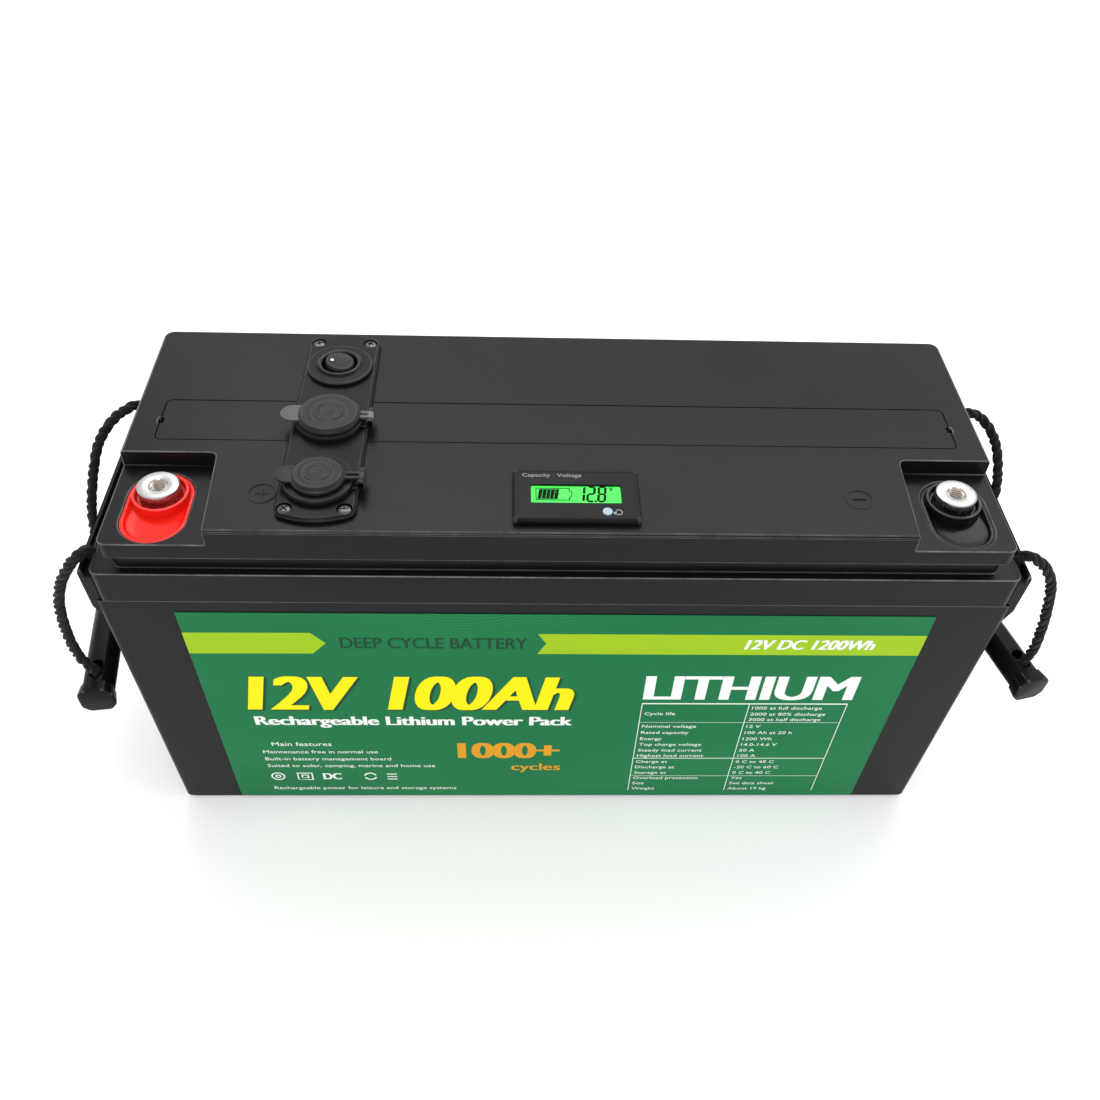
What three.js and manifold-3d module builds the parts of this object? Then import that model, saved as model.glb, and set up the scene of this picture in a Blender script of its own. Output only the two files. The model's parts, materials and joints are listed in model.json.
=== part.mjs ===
// Deep cycle battery, a 12 V lithium iron phosphate block in a moulded case.
// Millimetres, +Z up. Origin: middle of the flat underside of the case.
// +X runs along the case to the negative end, +Y to the back.
import * as THREE from 'three';
import { mergeVertices } from 'three/addons/utils/BufferGeometryUtils.js';
import Module from 'manifold-3d';

const wasm = await Module();
wasm.setup();

// ---------------------------------------------------------------- driving dimensions
const CLEAR = 0.3; // gap left between touching pieces

const TUB_BOTTOM_HALF_X = 235.9;
const TUB_TOP_HALF_X = 238.2;
const TUB_BOTTOM_HALF_Y = 83.0;
const TUB_TOP_HALF_Y = 83.6;
const TUB_TOP_Z = 190.6;
const TUB_WALL = 4.0;
const TUB_CORNER_R = 3.0;
const TUB_FOOT_BEVEL = 3.0;

const LUG_HALF_X = 242.5; // half of the overall length of 485
const LUG_HALF_Y = 81.0;
const LUG_BOTTOM_Z = 175.0;
const LUG_TOP_Z = 210.0;
const LUG_CHANNEL_Z = 206.5;
const LUG_CHANNEL_HALF_X = 240.4;
const LUG_CHEEK = 1.6; // how far the lug's thinner ends run on past it
const BOSS_DEPTH = 9.5; // block behind each rope hole, inside the wall
const BOSS_HALF_W = 8.5;
const BOSS_LOW_Z = 155.0;
const BOSS_TOP_Z = 184.0;

const RIM_HALF_X = 235.8;
const RIM_HALF_Y = 85.0; // half of the overall depth of 170
const RIM_BOTTOM_Z = 191.4;
const RIM_TOP_Z = 211.5;
const NECK_HALF_X = 224.0;
const NECK_HALF_Y = 80.0;
const BLOCK_HALF_X = 226.9;
const BLOCK_HALF_Y = 83.8;
const BLOCK_BOTTOM_Z = 221.5;
const LID_TOP_Z = 240.0; // overall height of the case
const LID_ROOF_Z = 235.0;

const TERRACE_Z = 230.7; // floor of the two terminal corners
const TERRACE_BACK_Y = -25.2;
const TERRACE_INNER_X = 177.0;
const TERRACE_SPLAY = 3.5;
const TERRACE_WALL = 3.2;
const TERMINAL_X = 202.6;
const TERMINAL_Y = -47.6;
const POST_R = 10.5;
const POST_TOP_Z = 237.5;
const POST_BORE_R = 4.0; // M8 thread, drawn as a plain hole
const INSERT_HALF_W = 16.3;
const INSERT_FRONT_Y = -81.8;
const INSERT_BASE_Z = 225.0;

const STRIP_HALF_X = 211.0;
const STRIP_Y = 1.4;
const STRIP_HALF_Y = 16.4;
const STRIP_T = 2.2;

const PANEL_X = -121.5;
const PANEL_T = 3.0;
const PANEL_BOTTOM_Z = LID_TOP_Z + CLEAR;
const PANEL_TOP_Z = PANEL_BOTTOM_Z + PANEL_T;
const PANEL_HALF_W = 20.0;
const PANEL_BACK_Y = 72.6;
const PANEL_FRONT_Y = -73.2;
const PANEL_BULGE = 5.0;
const SWITCH_Y = 44.5;
const SOCKET_Y = -3.5;
const USB_Y = -51.5;
const DEVICE_HOLE_R = 14.6;
const DEVICE_BODY_R = 14.2;
const DEVICE_FLANGE_R = 17.9;

const DISPLAY_X = 6.0;
const DISPLAY_Y = -58.3;
const DISPLAY_HALF_X = 31.6;
const DISPLAY_HALF_Y = 18.8;
const DISPLAY_T = 3.4;
const WINDOW_X = 5.9;
const WINDOW_Y = -57.7;
const WINDOW_HALF_X = 22.7;
const WINDOW_HALF_Y = 6.8;
const KEY_X = 20.8;
const KEY_Y = -70.8;
const KEY_R = 2.4;

const ROPE_R = 2.9;
const ROPE_HOLE_R = 3.3;
const ROPE_HOLE_X = 238.3;
const ROPE_HOLES_Y = [-68.0, 49.0]; // front and rear
const ROPE_START_Z = 213.6;
const KNOT_ROOM_R = 5.6;
const GRIP_R = 8.8;
const GRIP_BORE_R = 5.5;
const GRIP_HALF_LENGTH = 54.0;
const GRIP_CAP_LENGTH = 8.0;
const GRIP_SLOT_Y = 37.0;

const CELL_X = 173.0;
const CELL_Y = 48.0;
const CELL_Z = 168.0;
const CELL_BASE_Z = 9.0;
const CELL_POST_OFFSET = 66.0;

// ---------------------------------------------------------------- materials
const FINISH = {
  case_plastic: [0x2b2b2d, 0.5, 0.0],
  panel_plastic: [0x333436, 0.6, 0.0],
  cap_rubber: [0x4a4a4b, 0.7, 0.0],
  rocker_plastic: [0x1c1c1d, 0.4, 0.0],
  red_plastic: [0xe8251a, 0.25, 0.0],
  black_gloss: [0x161616, 0.2, 0.0],
  tin_plate: [0xc9c9c6, 0.35, 1.0],
  brass: [0xb99a5e, 0.35, 1.0],
  screw_steel: [0x8d8f90, 0.35, 1.0],
  label_film: [0x187a48, 0.4, 0.0],
  lcd_glass: [0x9fd8a0, 0.1, 0.0],
  lcd_panel: [0x46ff5a, 0.5, 0.0],
  circuit_board: [0x14602f, 0.6, 0.0],
  key_plastic: [0x8d9aa3, 0.45, 0.0],
  rope_fibre: [0x111112, 0.9, 0.0],
  grip_plastic: [0x222223, 0.6, 0.0],
  cell_can: [0x1f4f9b, 0.4, 0.6],
  copper: [0xb87333, 0.35, 1.0],
  aluminium: [0xb8babb, 0.4, 1.0],
  foam: [0xe6e1d2, 0.95, 0.0],
  glue: [0x101010, 0.6, 0.0],
  cable_red: [0xb01a14, 0.5, 0.0],
  cable_black: [0x151515, 0.5, 0.0],
};

function finish(slot) {
  const [color, roughness, metalness] = FINISH[slot];
  return new THREE.MeshStandardMaterial({ color, roughness, metalness });
}

// ---------------------------------------------------------------- solids from geometries
function solid(geometry) {
  const bare = geometry.clone();
  bare.deleteAttribute('normal');
  bare.deleteAttribute('uv');
  const merged = mergeVertices(bare, 1e-4);
  const index = merged.index.array;
  const kept = [];
  for (let i = 0; i < index.length; i += 3) {
    const [a, b, c] = [index[i], index[i + 1], index[i + 2]];
    if (a !== b && b !== c && c !== a) {
      kept.push(a, b, c);
    }
  }
  return new wasm.Manifold(new wasm.Mesh({
    numProp: 3,
    vertProperties: new Float32Array(merged.attributes.position.array),
    triVerts: new Uint32Array(kept),
  }));
}

function geometryOf(body) {
  const mesh = body.getMesh();
  const geometry = new THREE.BufferGeometry();
  geometry.setAttribute('position', new THREE.BufferAttribute(mesh.vertProperties, 3));
  geometry.setIndex(new THREE.BufferAttribute(mesh.triVerts, 1));
  const faceted = geometry.toNonIndexed();
  faceted.computeVertexNormals();
  return faceted;
}

function join(first, ...others) {
  return others.reduce((sum, next) => sum.add(next), first);
}

function cut(first, ...others) {
  return others.reduce((rest, next) => rest.subtract(next), first);
}

// ---------------------------------------------------------------- outlines
function rectangle(halfX, halfY, radius, x = 0, y = 0) {
  const shape = new THREE.Shape();
  const [r, w, h] = [radius, halfX, halfY];
  shape.moveTo(x - w + r, y - h);
  shape.lineTo(x + w - r, y - h);
  shape.absarc(x + w - r, y - h + r, r, -Math.PI / 2, 0, false);
  shape.lineTo(x + w, y + h - r);
  shape.absarc(x + w - r, y + h - r, r, 0, Math.PI / 2, false);
  shape.lineTo(x - w + r, y + h);
  shape.absarc(x - w + r, y + h - r, r, Math.PI / 2, Math.PI, false);
  shape.lineTo(x - w, y - h + r);
  shape.absarc(x - w + r, y - h + r, r, Math.PI, Math.PI * 1.5, false);
  return shape;
}

function polygon(points) {
  return new THREE.Shape(points.map(([x, y]) => new THREE.Vector2(x, y)));
}

// Two half circles joined by straight sides that run along Y.
function stadium(x, halfWidth, yLow, yHigh) {
  const shape = new THREE.Shape();
  shape.moveTo(x + halfWidth, yLow + halfWidth);
  shape.lineTo(x + halfWidth, yHigh - halfWidth);
  shape.absarc(x, yHigh - halfWidth, halfWidth, 0, Math.PI, false);
  shape.lineTo(x - halfWidth, yLow + halfWidth);
  shape.absarc(x, yLow + halfWidth, halfWidth, Math.PI, Math.PI * 2, false);
  return shape;
}

// ---------------------------------------------------------------- basic solids
function extrudeZ(shape, zLow, zHigh, curveSegments = 4) {
  const geometry = new THREE.ExtrudeGeometry(shape, {
    depth: zHigh - zLow, bevelEnabled: false, curveSegments,
  });
  return solid(geometry.translate(0, 0, zLow));
}

// A shape drawn in X and Z, run along Y.
function extrudeY(shape, yLow, yHigh, curveSegments = 4) {
  const geometry = new THREE.ExtrudeGeometry(shape, {
    depth: yHigh - yLow, bevelEnabled: false, curveSegments,
  });
  return solid(geometry.rotateX(Math.PI / 2).translate(0, yHigh, 0));
}

// A shape drawn in Y and Z, run along X.
function extrudeX(shape, xLow, xHigh, curveSegments = 4) {
  const geometry = new THREE.ExtrudeGeometry(shape, {
    depth: xHigh - xLow, bevelEnabled: false, curveSegments,
  });
  return solid(geometry.rotateX(Math.PI / 2).rotateZ(Math.PI / 2).translate(xLow, 0, 0));
}

// A rounded rectangle whose half sizes change evenly from the bottom to the top.
function taperedBlock(bottom, top, radius, zLow, zHigh, x = 0, y = 0) {
  const shape = rectangle(bottom[0], bottom[1], radius);
  const geometry = new THREE.ExtrudeGeometry(shape, {
    depth: zHigh - zLow, bevelEnabled: false, curveSegments: 4,
  });
  const position = geometry.attributes.position;
  for (let i = 0; i < position.count; i += 1) {
    const t = position.getZ(i) / (zHigh - zLow);
    const growX = Math.sign(position.getX(i)) * (top[0] - bottom[0]) * t;
    const growY = Math.sign(position.getY(i)) * (top[1] - bottom[1]) * t;
    position.setXYZ(i, position.getX(i) + growX, position.getY(i) + growY, position.getZ(i));
  }
  return solid(geometry.translate(x, y, zLow));
}

// A profile of [radius, height] points turned about the vertical line through x, y.
function turned(profile, segments, x = 0, y = 0) {
  const points = profile.map(([r, z]) => new THREE.Vector2(r, z));
  const geometry = new THREE.LatheGeometry(points, segments);
  return solid(geometry.rotateX(Math.PI / 2).translate(x, y, 0));
}

function rod(radius, zLow, zHigh, segments, x = 0, y = 0) {
  return turned([[0, zLow], [radius, zLow], [radius, zHigh], [0, zHigh]], segments, x, y);
}

// A rod along Y, centred on x and z.
function rodY(radius, yLow, yHigh, segments, x, z) {
  const geometry = new THREE.CylinderGeometry(radius, radius, yHigh - yLow, segments);
  return solid(geometry.translate(x, (yLow + yHigh) / 2, z));
}

function box(xLow, xHigh, yLow, yHigh, zLow, zHigh) {
  const geometry = new THREE.BoxGeometry(xHigh - xLow, yHigh - yLow, zHigh - zLow);
  return solid(geometry.translate((xLow + xHigh) / 2, (yLow + yHigh) / 2, (zLow + zHigh) / 2));
}

function ball(radius, segments, x, y, z, squashZ = 1) {
  const geometry = new THREE.SphereGeometry(radius, segments, Math.round(segments / 2));
  return solid(geometry.scale(1, 1, squashZ).translate(x, y, z));
}

// A round rod that follows a smooth curve through the given points.
function tube(points, radius, sides, steps) {
  const corners = points.map((point) => new THREE.Vector3(...point));
  const curve = new THREE.CatmullRomCurve3(corners, false, 'centripetal');
  const section = new THREE.Shape();
  for (let i = 0; i < sides; i += 1) {
    const angle = (i / sides) * Math.PI * 2;
    const point = [radius * Math.cos(angle), radius * Math.sin(angle)];
    if (i === 0) {
      section.moveTo(...point);
    } else {
      section.lineTo(...point);
    }
  }
  return solid(new THREE.ExtrudeGeometry(section, { extrudePath: curve, steps, bevelEnabled: false }));
}

// ---------------------------------------------------------------- the assembly
const battery = new THREE.Group();
battery.name = 'deep_cycle_battery';

function addPart(name, body, slot, parent = battery) {
  const mesh = new THREE.Mesh(geometryOf(body), finish(slot));
  mesh.name = name;
  parent.add(mesh);
  return mesh;
}

// ---------------------------------------------------------------- tub and lid
function ropeHoles(zLow, zHigh, radius) {
  const holes = [];
  for (const side of [-1, 1]) {
    for (const y of ROPE_HOLES_Y) {
      holes.push(rod(radius, zLow, zHigh, 12, side * ROPE_HOLE_X, y));
    }
  }
  return holes;
}

// The rope lug is a ledge that stands out from the end wall and rises outside the lid's rim.
function lug(side) {
  const outline = polygon([
    [TUB_TOP_HALF_X - 2, LUG_BOTTOM_Z - 1],
    [TUB_TOP_HALF_X - 0.2, LUG_BOTTOM_Z - 1],
    [LUG_HALF_X - 0.5, LUG_BOTTOM_Z + 9],
    [LUG_HALF_X, LUG_TOP_Z - 1.2],
    [LUG_HALF_X - 0.7, LUG_TOP_Z],
    [LUG_CHANNEL_HALF_X, LUG_TOP_Z],
    [LUG_CHANNEL_HALF_X - 0.3, LUG_CHANNEL_Z],
    [RIM_HALF_X + 0.5, LUG_CHANNEL_Z],
    [RIM_HALF_X + 0.5, TUB_TOP_Z - 2],
  ].map(([x, z]) => [side * x, z]));
  const cheek = polygon([
    [TUB_TOP_HALF_X - TUB_WALL + 0.5, LUG_BOTTOM_Z + 2],
    [LUG_CHANNEL_HALF_X - 1.4, LUG_BOTTOM_Z + 9],
    [LUG_CHANNEL_HALF_X - 1, LUG_CHANNEL_Z],
    [TUB_TOP_HALF_X - TUB_WALL + 0.5, LUG_CHANNEL_Z],
  ].map(([x, z]) => [side * x, z]));
  const reach = LUG_HALF_Y + LUG_CHEEK;
  const both = join(extrudeY(outline, -LUG_HALF_Y, LUG_HALF_Y), extrudeY(cheek, -reach, reach));
  const rimRoom = rectangle(RIM_HALF_X + 0.4, RIM_HALF_Y + 0.4, 5.4);
  return cut(both, extrudeZ(rimRoom, TUB_TOP_Z + 0.1, LID_TOP_Z));
}

function buildTub() {
  const foot = taperedBlock(
    [TUB_BOTTOM_HALF_X - TUB_FOOT_BEVEL, TUB_BOTTOM_HALF_Y - TUB_FOOT_BEVEL / 2],
    [TUB_BOTTOM_HALF_X, TUB_BOTTOM_HALF_Y], TUB_CORNER_R, 0, TUB_FOOT_BEVEL,
  );
  const wall = taperedBlock(
    [TUB_BOTTOM_HALF_X, TUB_BOTTOM_HALF_Y], [TUB_TOP_HALF_X, TUB_TOP_HALF_Y],
    TUB_CORNER_R, TUB_FOOT_BEVEL, TUB_TOP_Z,
  );
  const inside = taperedBlock(
    [TUB_BOTTOM_HALF_X - TUB_WALL, TUB_BOTTOM_HALF_Y - TUB_WALL],
    [TUB_TOP_HALF_X - TUB_WALL, TUB_TOP_HALF_Y - TUB_WALL],
    TUB_CORNER_R, TUB_WALL, TUB_TOP_Z + 1,
  );
  const bosses = [];
  for (const side of [-1, 1]) {
    for (const y of ROPE_HOLES_Y) {
      const [low, high] = [TUB_TOP_HALF_X - BOSS_DEPTH, TUB_TOP_HALF_X - 3];
      const x = side > 0 ? [low, high] : [-high, -low];
      bosses.push(box(...x, y - BOSS_HALF_W, y + BOSS_HALF_W, BOSS_LOW_Z, BOSS_TOP_Z));
    }
  }
  const shell = join(cut(join(foot, wall), inside), ...bosses, lug(-1), lug(1));
  const ropeBores = ropeHoles(BOSS_LOW_Z + 5, LID_TOP_Z, ROPE_HOLE_R);
  const knotRooms = ropeHoles(BOSS_LOW_Z + 5, LUG_BOTTOM_Z + 1, KNOT_ROOM_R);
  return cut(shell, ...ropeBores, ...knotRooms);
}

function terraceOutline(side, grow) {
  const inner = TERRACE_INNER_X - grow;
  const r = 4;
  const shape = new THREE.Shape();
  shape.moveTo(side * (inner - TERRACE_SPLAY), -95);
  shape.lineTo(side * inner, TERRACE_BACK_Y + grow - r);
  shape.quadraticCurveTo(side * inner, TERRACE_BACK_Y + grow, side * (inner + r), TERRACE_BACK_Y + grow);
  shape.lineTo(side * 250, TERRACE_BACK_Y + grow);
  shape.lineTo(side * 250, -95);
  return shape;
}

// The raised ring and bars that mark a terminal's polarity.
function polarityMark(side) {
  const [x, y, z] = [side * 149.4, -56.0, LID_TOP_Z + 0.45];
  const base = LID_TOP_Z - 1;
  const ring = turned([[6.4, base], [7.1, base], [7.1, z], [6.4, z], [6.4, base]], 20, x, y);
  const bars = [box(x - 3.6, x + 3.6, y - 0.45, y + 0.45, base, z)];
  if (side < 0) {
    bars.push(box(x - 0.45, x + 0.45, y - 3.6, y + 3.6, base, z));
  }
  return [ring, ...bars];
}

function insertOutline(side, grow) {
  const back = TERMINAL_Y + INSERT_HALF_W + grow;
  return stadium(side * TERMINAL_X, INSERT_HALF_W + grow, INSERT_FRONT_Y - grow, back);
}

function buildLid() {
  const tongueOutline = rectangle(TUB_TOP_HALF_X - TUB_WALL - 0.6, TUB_TOP_HALF_Y - TUB_WALL - 0.4, 3);
  const tongue = extrudeZ(tongueOutline, TUB_TOP_Z - 4.1, RIM_BOTTOM_Z + 1.6);
  const rim = extrudeZ(rectangle(RIM_HALF_X, RIM_HALF_Y, 5), RIM_BOTTOM_Z, RIM_TOP_Z);
  const neck = extrudeZ(rectangle(NECK_HALF_X, NECK_HALF_Y, 4), RIM_TOP_Z - 1, BLOCK_BOTTOM_Z + 1);
  const [foot, shoulder, top] = [0, 0.4, 1.7].map((inset) => [BLOCK_HALF_X - inset, BLOCK_HALF_Y - inset]);
  const shoulderZ = LID_TOP_Z - 1.4;
  const block = taperedBlock(foot, shoulder, 5, BLOCK_BOTTOM_Z, shoulderZ);
  const crown = taperedBlock(shoulder, top, 5, shoulderZ, LID_TOP_Z);
  const outside = join(tongue, rim, neck, block, crown, ...polarityMark(-1), ...polarityMark(1));

  const lowerHollow = extrudeZ(rectangle(230.6, 76.8, 3), 180, 207.5);
  const upperHollow = extrudeZ(rectangle(220.8, 76.8, 3), 207, LID_ROOF_Z);
  const terraceRoofs = [-1, 1].map((side) => extrudeZ(
    terraceOutline(side, TERRACE_WALL), TERRACE_Z - TERRACE_WALL, LID_ROOF_Z + 5,
  ));
  const hollow = join(lowerHollow, cut(upperHollow, ...terraceRoofs));

  const terraces = [-1, 1].map((side) => extrudeZ(terraceOutline(side, 0), TERRACE_Z, LID_TOP_Z + 5));
  const insertHoles = [-1, 1].map((side) => extrudeZ(
    insertOutline(side, CLEAR), INSERT_BASE_Z - CLEAR, TERRACE_Z + 5, 10,
  ));
  const seatOutline = rectangle(STRIP_HALF_X + 0.5, STRIP_HALF_Y + 0.5, 3.5, 0, STRIP_Y);
  const stripSeat = extrudeZ(seatOutline, LID_TOP_Z - STRIP_T - CLEAR, LID_TOP_Z + 5);
  const pryNotches = [-1, 1].map((side) => {
    const x = side * (STRIP_HALF_X - 0.3);
    return box(x - 1.8, x + 1.8, STRIP_Y - 3.2, STRIP_Y + 1.2, LID_TOP_Z - STRIP_T - 1.2, LID_TOP_Z + 5);
  });
  const deviceHoles = [SWITCH_Y, SOCKET_Y, USB_Y].map((y) => rod(DEVICE_HOLE_R, 225, 245, 20, PANEL_X, y));
  const displayHole = extrudeZ(rectangle(28.6, 15.8, 1, DISPLAY_X, DISPLAY_Y), 225, 245);
  const screwHoles = screwPlaces().map(([x, y]) => rod(1.9, 225, 245, 8, x, y));
  return cut(
    outside, hollow, ...terraces, ...insertHoles, stripSeat, ...pryNotches, ...deviceHoles,
    displayHole, ...screwHoles, ...ropeHoles(180, 220, ROPE_HOLE_R),
  );
}

function ringOutline(outer, inner) {
  outer.holes.push(inner);
  return outer;
}

function buildSeal() {
  const outline = ringOutline(
    rectangle(RIM_HALF_X - 0.3, TUB_TOP_HALF_Y - 0.4, 3),
    rectangle(TUB_TOP_HALF_X - TUB_WALL - 0.1, TUB_TOP_HALF_Y - TUB_WALL + 0.1, 3),
  );
  const bead = extrudeZ(outline, TUB_TOP_Z + 0.1, RIM_BOTTOM_Z - 0.1);
  return cut(bead, ...ropeHoles(180, 220, ROPE_HOLE_R + 0.3));
}

function buildStrip() {
  const plate = extrudeZ(
    rectangle(STRIP_HALF_X, STRIP_HALF_Y, 3, 0, STRIP_Y), LID_TOP_Z - STRIP_T, LID_TOP_Z,
  );
  const hole = rod(DEVICE_HOLE_R, 230, 245, 20, PANEL_X, SOCKET_Y);
  const ends = [-1, 1].map((side) => {
    const x = side * STRIP_HALF_X;
    return box(x - 1.6, x + 1.6, STRIP_Y - 3.2, STRIP_Y + 1.2, 230, 245);
  });
  return cut(plate, hole, ...ends);
}

addPart('tub', buildTub(), 'case_plastic');
addPart('lid', buildLid(), 'case_plastic');
addPart('lid_seal', buildSeal(), 'glue');
addPart('strip_cover', buildStrip(), 'case_plastic');

const LABEL_HALF_X = 200.1;
const LABEL_LOW_Z = 3.6;
const LABEL_HIGH_Z = 182.4;

// The label follows the slight lean of the front wall.
function buildLabel() {
  const lean = (z) => TUB_BOTTOM_HALF_Y + ((TUB_TOP_HALF_Y - TUB_BOTTOM_HALF_Y) * z) / TUB_TOP_Z;
  const [near, far] = [0.12, 0.45];
  const corner = (z, gap) => [-lean(z) - gap, z];
  const outline = polygon([
    corner(LABEL_LOW_Z, far), corner(LABEL_LOW_Z, near),
    corner(LABEL_HIGH_Z, near), corner(LABEL_HIGH_Z, far),
  ]);
  return extrudeX(outline, -LABEL_HALF_X, LABEL_HALF_X);
}
addPart('front_label', buildLabel(), 'label_film');

// ---------------------------------------------------------------- terminals
function buildPost(side) {
  const profile = [
    [0, 214], [13, 214], [13, 221], [POST_R, 222], [POST_R, POST_TOP_Z - 0.6], [POST_R - 0.6, POST_TOP_Z],
    [POST_BORE_R + 0.7, POST_TOP_Z], [POST_BORE_R, POST_TOP_Z - 0.7], [POST_BORE_R, 222.5], [0, 220.5],
  ];
  return turned(profile, 24, side * TERMINAL_X, TERMINAL_Y);
}

const INSERT_DISH_Z = 228.2;
const COLLAR_R = 14.6;
const COLLAR_TOP_Z = 233;

// A dished plate that fills the hole in the terrace, with a raised collar round the post.
function buildInsert(side) {
  const x = side * TERMINAL_X;
  const rim = 2.2;
  const above = LID_TOP_Z;
  const body = extrudeZ(insertOutline(side, 0), INSERT_BASE_Z, TERRACE_Z - 0.2, 10);
  const dish = extrudeZ(insertOutline(side, -rim), INSERT_DISH_Z, above, 10);
  const collarProfile = [
    [0, INSERT_BASE_Z], [COLLAR_R, INSERT_BASE_Z], [COLLAR_R - 0.4, COLLAR_TOP_Z - 0.6],
    [COLLAR_R - 1.4, COLLAR_TOP_Z], [0, COLLAR_TOP_Z],
  ];
  const collar = turned(collarProfile, 24, x, TERMINAL_Y);
  const well = rod(COLLAR_R - 2.4, INSERT_DISH_Z + 1.3, above, 24, x, TERMINAL_Y);
  const bore = rod(POST_R + CLEAR, 220, above, 24, x, TERMINAL_Y);
  const foot = rod(12.8, 222.5, INSERT_BASE_Z + 1, 24, x, TERMINAL_Y);
  return cut(join(cut(body, dish), collar, foot), well, bore);
}

addPart('positive_post', buildPost(-1), 'tin_plate');
addPart('negative_post', buildPost(1), 'tin_plate');
addPart('positive_insert', buildInsert(-1), 'red_plastic');
addPart('negative_insert', buildInsert(1), 'black_gloss');

// ---------------------------------------------------------------- socket panel
function screwPlaces() {
  const [offset, rear, front] = [14.5, 67.8, -70.2];
  return [rear, front].flatMap((y) => [[PANEL_X - offset, y], [PANEL_X + offset, y]]);
}

function buildPanel() {
  const shape = new THREE.Shape();
  const [left, right] = [PANEL_X - PANEL_HALF_W, PANEL_X + PANEL_HALF_W];
  shape.moveTo(left, PANEL_FRONT_Y);
  shape.quadraticCurveTo(PANEL_X, PANEL_FRONT_Y - 2 * PANEL_BULGE, right, PANEL_FRONT_Y);
  shape.lineTo(right, PANEL_BACK_Y);
  shape.quadraticCurveTo(PANEL_X, PANEL_BACK_Y + 2 * PANEL_BULGE, left, PANEL_BACK_Y);
  const plate = extrudeZ(shape, PANEL_BOTTOM_Z, PANEL_TOP_Z, 8);
  const holes = [SWITCH_Y, SOCKET_Y, USB_Y].map((y) => rod(DEVICE_HOLE_R, 239, 245, 20, PANEL_X, y));
  const screws = screwPlaces().map(([x, y]) => rod(1.9, 239, 245, 8, x, y));
  const sinks = screwPlaces().map(([x, y]) => rod(3.9, PANEL_TOP_Z - 1.6, 245, 12, x, y));
  return cut(plate, ...holes, ...screws, ...sinks);
}

function buildScrew(x, y) {
  const under = PANEL_TOP_Z - 1.3;
  const top = PANEL_TOP_Z + 0.5;
  const shape = turned([
    [0, 229], [1.1, 230], [1.6, 231.5], [1.6, under], [3.6, under], [3.6, top - 0.8], [2.6, top], [0, top],
  ], 12, x, y);
  const cross = [box(x - 1.9, x + 1.9, y - 0.35, y + 0.35, top - 1, top + 1),
    box(x - 0.35, x + 0.35, y - 1.9, y + 1.9, top - 1, top + 1)];
  return cut(shape, ...cross);
}

addPart('socket_panel', buildPanel(), 'panel_plastic');
screwPlaces().forEach(([x, y], i) => addPart(`panel_screw_${i + 1}`, buildScrew(x, y), 'screw_steel'));

// A nut that pulls a socket's flange down on the panel from inside the lid.
function buildNut(y) {
  const [inner, outer] = [DEVICE_BODY_R + CLEAR, 18.5];
  return turned([[inner, 228], [outer, 228], [outer, 234], [inner, 234], [inner, 228]], 16, PANEL_X, y);
}

// ---------------------------------------------------------------- rocker switch
const FLANGE_Z = PANEL_TOP_Z + CLEAR;
const ROCKER_Z = FLANGE_Z + 1.4;
const ROCKER_R = 8.0;
const ROCKER_TILT = THREE.MathUtils.degToRad(8);

function buildSwitchHousing() {
  const body = turned([
    [0, 222], [DEVICE_BODY_R, 222], [DEVICE_BODY_R, FLANGE_Z], [DEVICE_FLANGE_R, FLANGE_Z],
    [DEVICE_FLANGE_R, FLANGE_Z + 1.6], [DEVICE_FLANGE_R - 1, FLANGE_Z + 2.2], [11.4, FLANGE_Z + 2.2],
    [11.1, FLANGE_Z + 3.4], [9.6, FLANGE_Z + 3.4], [8.6, FLANGE_Z + 2.4], [8.6, ROCKER_Z - 9.5],
    [0, ROCKER_Z - 9.5],
  ], 24, PANEL_X, SWITCH_Y);
  return cut(body, rodY(1.35, SWITCH_Y - 11, SWITCH_Y + 11, 8, PANEL_X, ROCKER_Z));
}

// A ball cut flat on top, turned about the pin; at rest its right side is pressed down.
function buildRocker() {
  const sphere = ball(ROCKER_R, 20, 0, 0, 0);
  const half = ROCKER_R + 1;
  const above = box(-half, half, -half, half, 3.0, half);
  const below = box(-half, half, -half, half, -half, -6.5);
  const dot = rod(0.9, 2.6, 5, 8, -4.2, 0);
  const pinHole = rodY(1.35, -half, half, 12, 0, 0);
  return cut(sphere, above, below, dot, pinHole);
}

addPart('switch_housing', buildSwitchHousing(), 'panel_plastic');
addPart('switch_nut', buildNut(SWITCH_Y), 'panel_plastic');
const rocker = addPart('switch_rocker', buildRocker(), 'rocker_plastic');
rocker.position.set(PANEL_X, SWITCH_Y, ROCKER_Z);
rocker.rotation.y = ROCKER_TILT;
addPart('rocker_pin', rodY(1.2, SWITCH_Y - 10.6, SWITCH_Y + 10.6, 8, PANEL_X, ROCKER_Z), 'screw_steel');

// ---------------------------------------------------------------- sockets with hinged caps
const CAP_HINGE_X = 21.4;
const CAP_HINGE_Z = FLANGE_Z + 3.4;

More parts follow.
